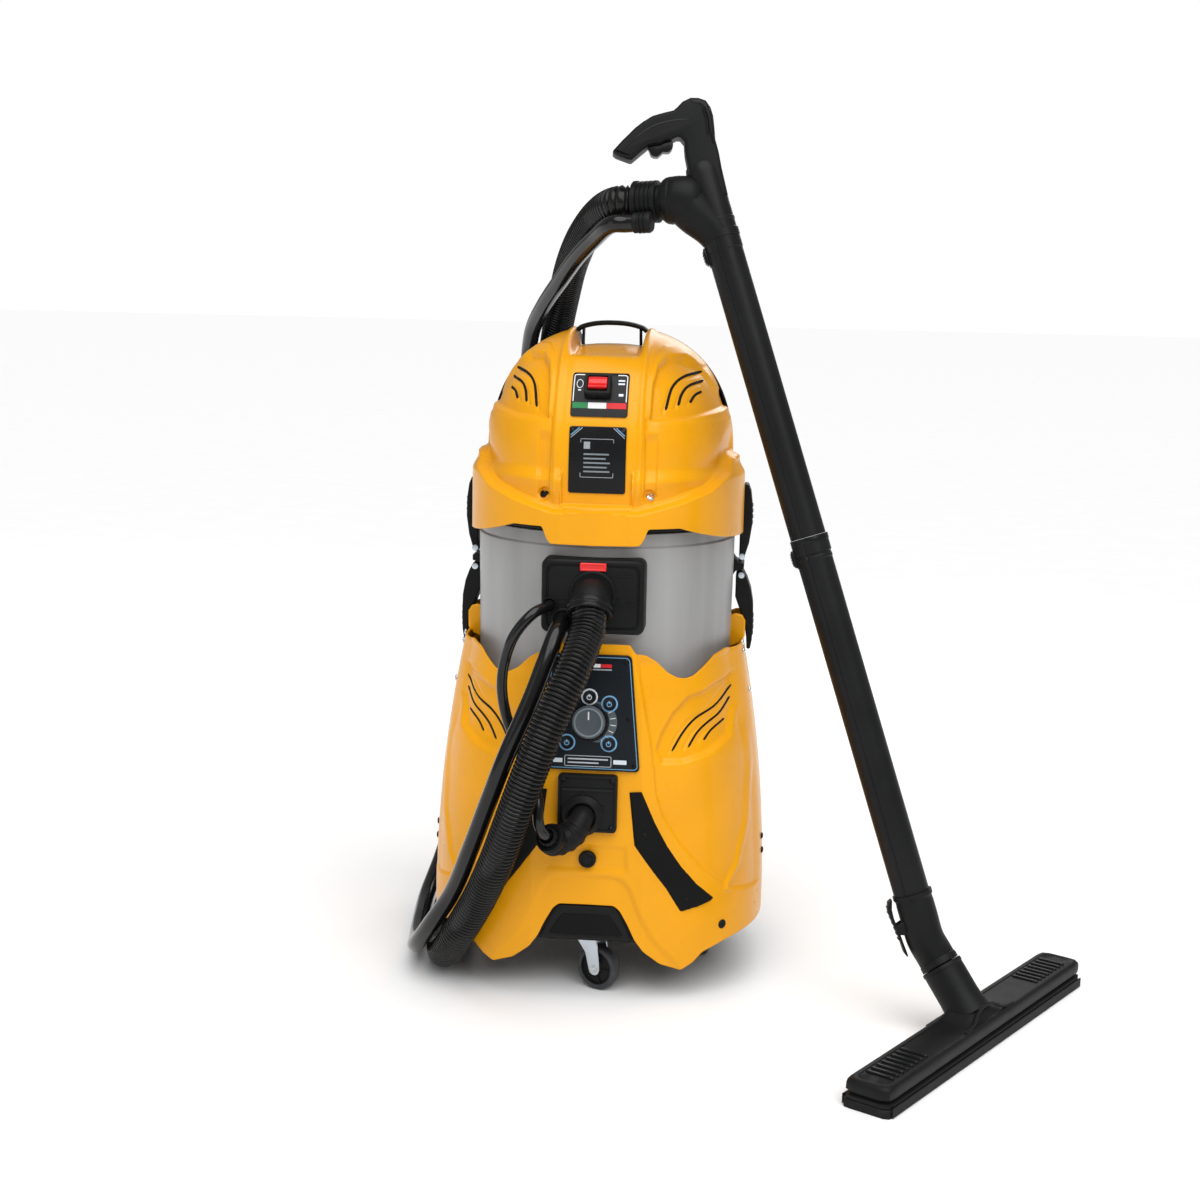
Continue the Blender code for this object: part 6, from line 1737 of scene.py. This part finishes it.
lofted("tool_body", [
    level(TOOL_HALF - 0.0020, -0.0300, 0.0300, 0.0103),
    level(TOOL_HALF - 0.0005, -0.0315, 0.0305, 0.0112),
    level(TOOL_HALF - 0.0005, -0.0315, 0.0305, 0.0150),
    level(TOOL_HALF - 0.0015, -0.0300, 0.0300, 0.0158),
    level(TOOL_HALF - 0.0050, -0.0262, 0.0290, 0.0166),
    level(TOOL_HALF - 0.0050, -0.0262, 0.0290, 0.0195),
    level(TOOL_HALF - 0.0012, -0.0300, 0.0300, 0.0204),
    level(TOOL_HALF - 0.0004, -0.0306, 0.0304, 0.0215),
    level(TOOL_HALF - 0.0004, -0.0306, 0.0300, 0.0290),
    level(TOOL_HALF - 0.0012, -0.0298, 0.0285, 0.0330),
    level(TOOL_HALF - 0.0030, -0.0280, 0.0255, 0.0355),
    level(TOOL_HALF - 0.0055, -0.0255, 0.0225, 0.0362),
    level(TOOL_HALF - 0.0085, -0.0225, 0.0200, 0.0362),
    level(TOOL_HALF - 0.0098, -0.0212, 0.0190, 0.0350),
    level(TOOL_HALF - 0.0300, -0.0120, 0.0120, 0.0350),
], BLACK, replaces=("floor_tool",))
for end_name, end in (("left", -1), ("right", 1)):
    for row in range(8):
        middle = end * (TOOL_HALF - 0.0330 - 0.0118 * row)
        rib_plan = [(x + middle, y) for x, y in plan(0.0027, -0.0190, 0.0180, 0.0026, 40)]
        lofted(f"tool_rib_{end_name}_{row}", [
            [(x, y, 0.0342) for x, y in rib_plan],
            [(x, y, 0.0362) for x, y in rib_plan],
            [(middle + (x - middle) * 0.72, y * 0.975, 0.0371) for x, y in rib_plan],
            [(middle + (x - middle) * 0.30, y * 0.955, 0.0373) for x, y in rib_plan],
        ], BLACK_SMOOTH)


def saddle_height(x, y):
    """The mound that carries the neck: high behind the arch, falling to the plate at its sides and front."""
    side = math.exp(-abs(x / 0.034) ** 2.6)
    front = float(ease((y + 0.0285) / 0.020))
    return 0.0335 + 0.0160 * side * front * float(ease((0.031 - y) / 0.012))


saddle_x = np.linspace(-0.066, 0.066, 45)
saddle_y = np.linspace(-0.0285, 0.0300, 21)
saddle_verts = [(x, y, saddle_height(x, y)) for x in saddle_x for y in saddle_y]
saddle_verts += [(x, y, 0.0300) for x in saddle_x for y in saddle_y]
saddle_faces = grid_faces(45, 21) + [[945 + i for i in reversed(face)] for face in grid_faces(45, 21)]
edge = [i * 21 for i in range(45)] + [44 * 21 + j for j in range(1, 21)]
edge += [i * 21 + 20 for i in range(43, -1, -1)] + [j for j in range(19, 0, -1)]
for a, b in zip(edge, edge[1:] + edge[:1]):
    saddle_faces.append([a, b, 945 + b, 945 + a])
piece("tool_saddle", [tuple(tool_place(*v)) for v in saddle_verts], saddle_faces, BLACK, "tool",
      smooth=60.0)
neck_start = elbow_seam + neck_out * 0.0003
neck_profile = [(0, 0), (0.0250, 0), (0.0266, 0.0006), (0.0272, 0.0016), (0.0272, 0.0050), (0.0264, 0.0060),
                (0.0264, 0.0440), (0.0272, 0.0560), (0.0290, 0.0680), (0, 0.0690)]
piece("tool_neck", *turned(neck_profile, 72, neck_out, neck_start), BLACK, "tool")
arch_half = [(0.066, -0.0243, 0.0358), (0.052, -0.0238, 0.0366), (0.041, -0.0226, 0.0388),
             (0.032, -0.0208, 0.0428), (0.022, -0.0190, 0.0478), (0.011, -0.0180, 0.0506)]
arch = [tool_place(-x, y, z) for x, y, z in arch_half] + [tool_place(0, -0.0177, 0.0515)]
arch += [tool_place(x, y, z) for x, y, z in reversed(arch_half)]
piece("tool_arch", *swept(arc_path(arch, 60), [0.0021] * 60, 14), BLACK, "tool")
sole_count = 160
sole_outer = plan(TOOL_HALF, -0.0320, 0.0320, 0.0080, sole_count)
sole_slot = plan(TOOL_HALF - 0.0250, -0.0090, 0.0090, 0.0030, sole_count)
loops = [(sole_slot, 0.0), (sole_outer, 0.0), (sole_outer, 0.0088),
         ([(x * 0.997, y * 0.97) for x, y in sole_outer], 0.0100), (sole_slot, 0.0100)]
verts = [tuple(tool_place(x, y, height)) for loop, height in loops for x, y in loop]
faces = []
for row in range(5):
    following = (row + 1) % 5
    for i in range(sole_count):
        j = (i + 1) % sole_count
        faces.append((row * sole_count + i, row * sole_count + j, following * sole_count + j,
                      following * sole_count + i))
piece("tool_sole_pad", verts, faces, RUBBER, "tool", smooth=40.0, replaces=("tool_sole",))
for strip_name, y in (("front", -0.0328), ("rear", 0.0328)):
    lip_bar = block((2 * TOOL_HALF - 0.012, 0.0018, 0.0120), (0, y, 0.0066))
    rounding(piece(f"tool_squeegee_{strip_name}", *on_tool(lip_bar), RUBBER, "tool"), 0.0006, 2)

# ---------------------------------------------------------------- behind
cap_low, cap_high = (Vector(corner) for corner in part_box("water_filler_cap"))
cap_spot = Vector(((cap_low.x + cap_high.x) / 2, cap_low.y, (cap_low.z + cap_high.z) / 2))
filler_profile = [(0, 0), (0.0262, 0), (0.0262, 0.0016), (0.0280, 0.0022), (0.0280, 0.0122),
                  (0.0270, 0.0145), (0.0245, 0.0158), (0.0160, 0.0160), (0.0150, 0.0150), (0, 0.0150)]


def grips(angle, height):
    return 1 - 0.035 * (math.cos(16 * angle) > 0.55) if 0.002 < height < 0.015 else 1.0


piece("filler_cap_body", *turned(filler_profile, 160, (0, 1, 0), cap_spot, wave=grips), BLACK, "filler_cap",
      place=Vector(), replaces=("water_filler_cap",))
handle_bar = block((0.0300, 0.0042, 0.0060), tuple(cap_spot + Vector((0, 0.0166, 0))))
rounding(piece("filler_cap_bar", *handle_bar, BLACK_SMOOTH, "filler_cap", place=Vector()), 0.0016, 3)
neck_ring = [(0.0290, -0.0030), (0.0330, -0.0030), (0.0330, 0.0), (0.0318, 0.0014), (0.0290, 0.0014)]
piece("filler_neck_ring", *turned(neck_ring, 72, (0, 1, 0), cap_spot - Vector((0, 0.0010, 0)), closed=True),
      BLACK, place=Vector())
inlet_low, inlet_high = (Vector(corner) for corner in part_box("mains_inlet"))
inlet_spot = Vector(((inlet_low.x + inlet_high.x) / 2, inlet_low.y, (inlet_low.z + inlet_high.z) / 2))
gland = [(0, 0.0080), (0.0045, 0.0080), (0.0045, 0.0240), (0.0078, 0.0240)]
for ring in range(4):
    start = 0.0220 - 0.0040 * ring
    gland += [(0.0088 + 0.0006 * ring, start), (0.0088 + 0.0006 * ring, start - 0.0022),
              (0.0078 + 0.0006 * ring, start - 0.0028)]
gland += [(0.0130, 0.0062), (0.0190, 0.0052), (0.0208, 0.0040), (0.0210, 0.0010), (0.0206, 0.0), (0, 0.0)]
piece("mains_gland", *turned(gland, 48, (0, 1, 0), inlet_spot), BLACK, place=Vector(),
      replaces=("mains_inlet",))

# ---------------------------------------------------------------- the inner parts that keep their shape
for node, finish in (("head_base", BLACK), ("vacuum_motor", ALLOY), ("motor_impeller", ALLOY),
                     ("cartridge_filter", CLOTH), ("boiler", JACKET), ("water_tank", MILKY),
                     ("water_pump", BLACK), ("chassis", BLACK)):
    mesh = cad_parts[node].data
    mesh.materials.clear()
    mesh.materials.append(finish)


# ---------------------------------------------------------------- floor, light and backdrop
floor_mesh = bpy.data.meshes.new("floor")
FLOOR_HALF = 30.0
floor_corners = [(-FLOOR_HALF, -FLOOR_HALF), (FLOOR_HALF, -FLOOR_HALF), (FLOOR_HALF, FLOOR_HALF),
                 (-FLOOR_HALF, FLOOR_HALF)]
floor_mesh.from_pydata([(x, y, -0.0004) for x, y in floor_corners], [], [(0, 1, 2, 3)])
floor_mesh.materials.append(moulded("studio_floor", (0.95, 0.95, 0.95), 0.62, grain=30, bump=0.02,
                                    spread=0.01))
floor = bpy.data.objects.new("floor", floor_mesh)
scene.collection.objects.link(floor)


def lamp(name, place, target, size, power):
    data = bpy.data.lights.new(name, "AREA")
    data.shape = "DISK"
    data.size = size
    data.energy = power
    obj = bpy.data.objects.new(name, data)
    obj.location = Vector(place) + AXIS
    toward = Vector(target) + AXIS - obj.location
    obj.rotation_euler = toward.to_track_quat("-Z", "Y").to_euler()
    scene.collection.objects.link(obj)


lamp("key", (1.7, -2.2, 2.1), (0, 0, 0.5), 1.3, 9)
lamp("fill", (-2.3, -1.7, 1.3), (0.1, 0, 0.5), 1.6, 4)
lamp("rim", (0.6, 2.4, 1.8), (0, 0, 0.5), 1.4, 14)
sun_data = bpy.data.lights.new("ceiling", "SUN")
sun_data.energy = 3.0
sun_data.angle = math.radians(70)
sun = bpy.data.objects.new("ceiling", sun_data)
sun.rotation_euler = (math.radians(28), math.radians(6), 0)
scene.collection.objects.link(sun)

world = bpy.data.worlds.new("studio")
scene.world = world
world.use_nodes = True
tree = world.node_tree
backdrop = tree.nodes["Background"]
backdrop.inputs["Color"].default_value = (1, 1, 1, 1)
BACKDROP_SEEN, BACKDROP_LIGHT = 1.0, 0.27
ray = tree.nodes.new("ShaderNodeLightPath")
strength = tree.nodes.new("ShaderNodeMapRange")
strength.inputs["To Min"].default_value = BACKDROP_LIGHT
strength.inputs["To Max"].default_value = BACKDROP_SEEN
tree.links.new(ray.outputs["Is Camera Ray"], strength.inputs["Value"])
tree.links.new(strength.outputs["Result"], backdrop.inputs["Strength"])
scene.view_settings.view_transform = "Standard"
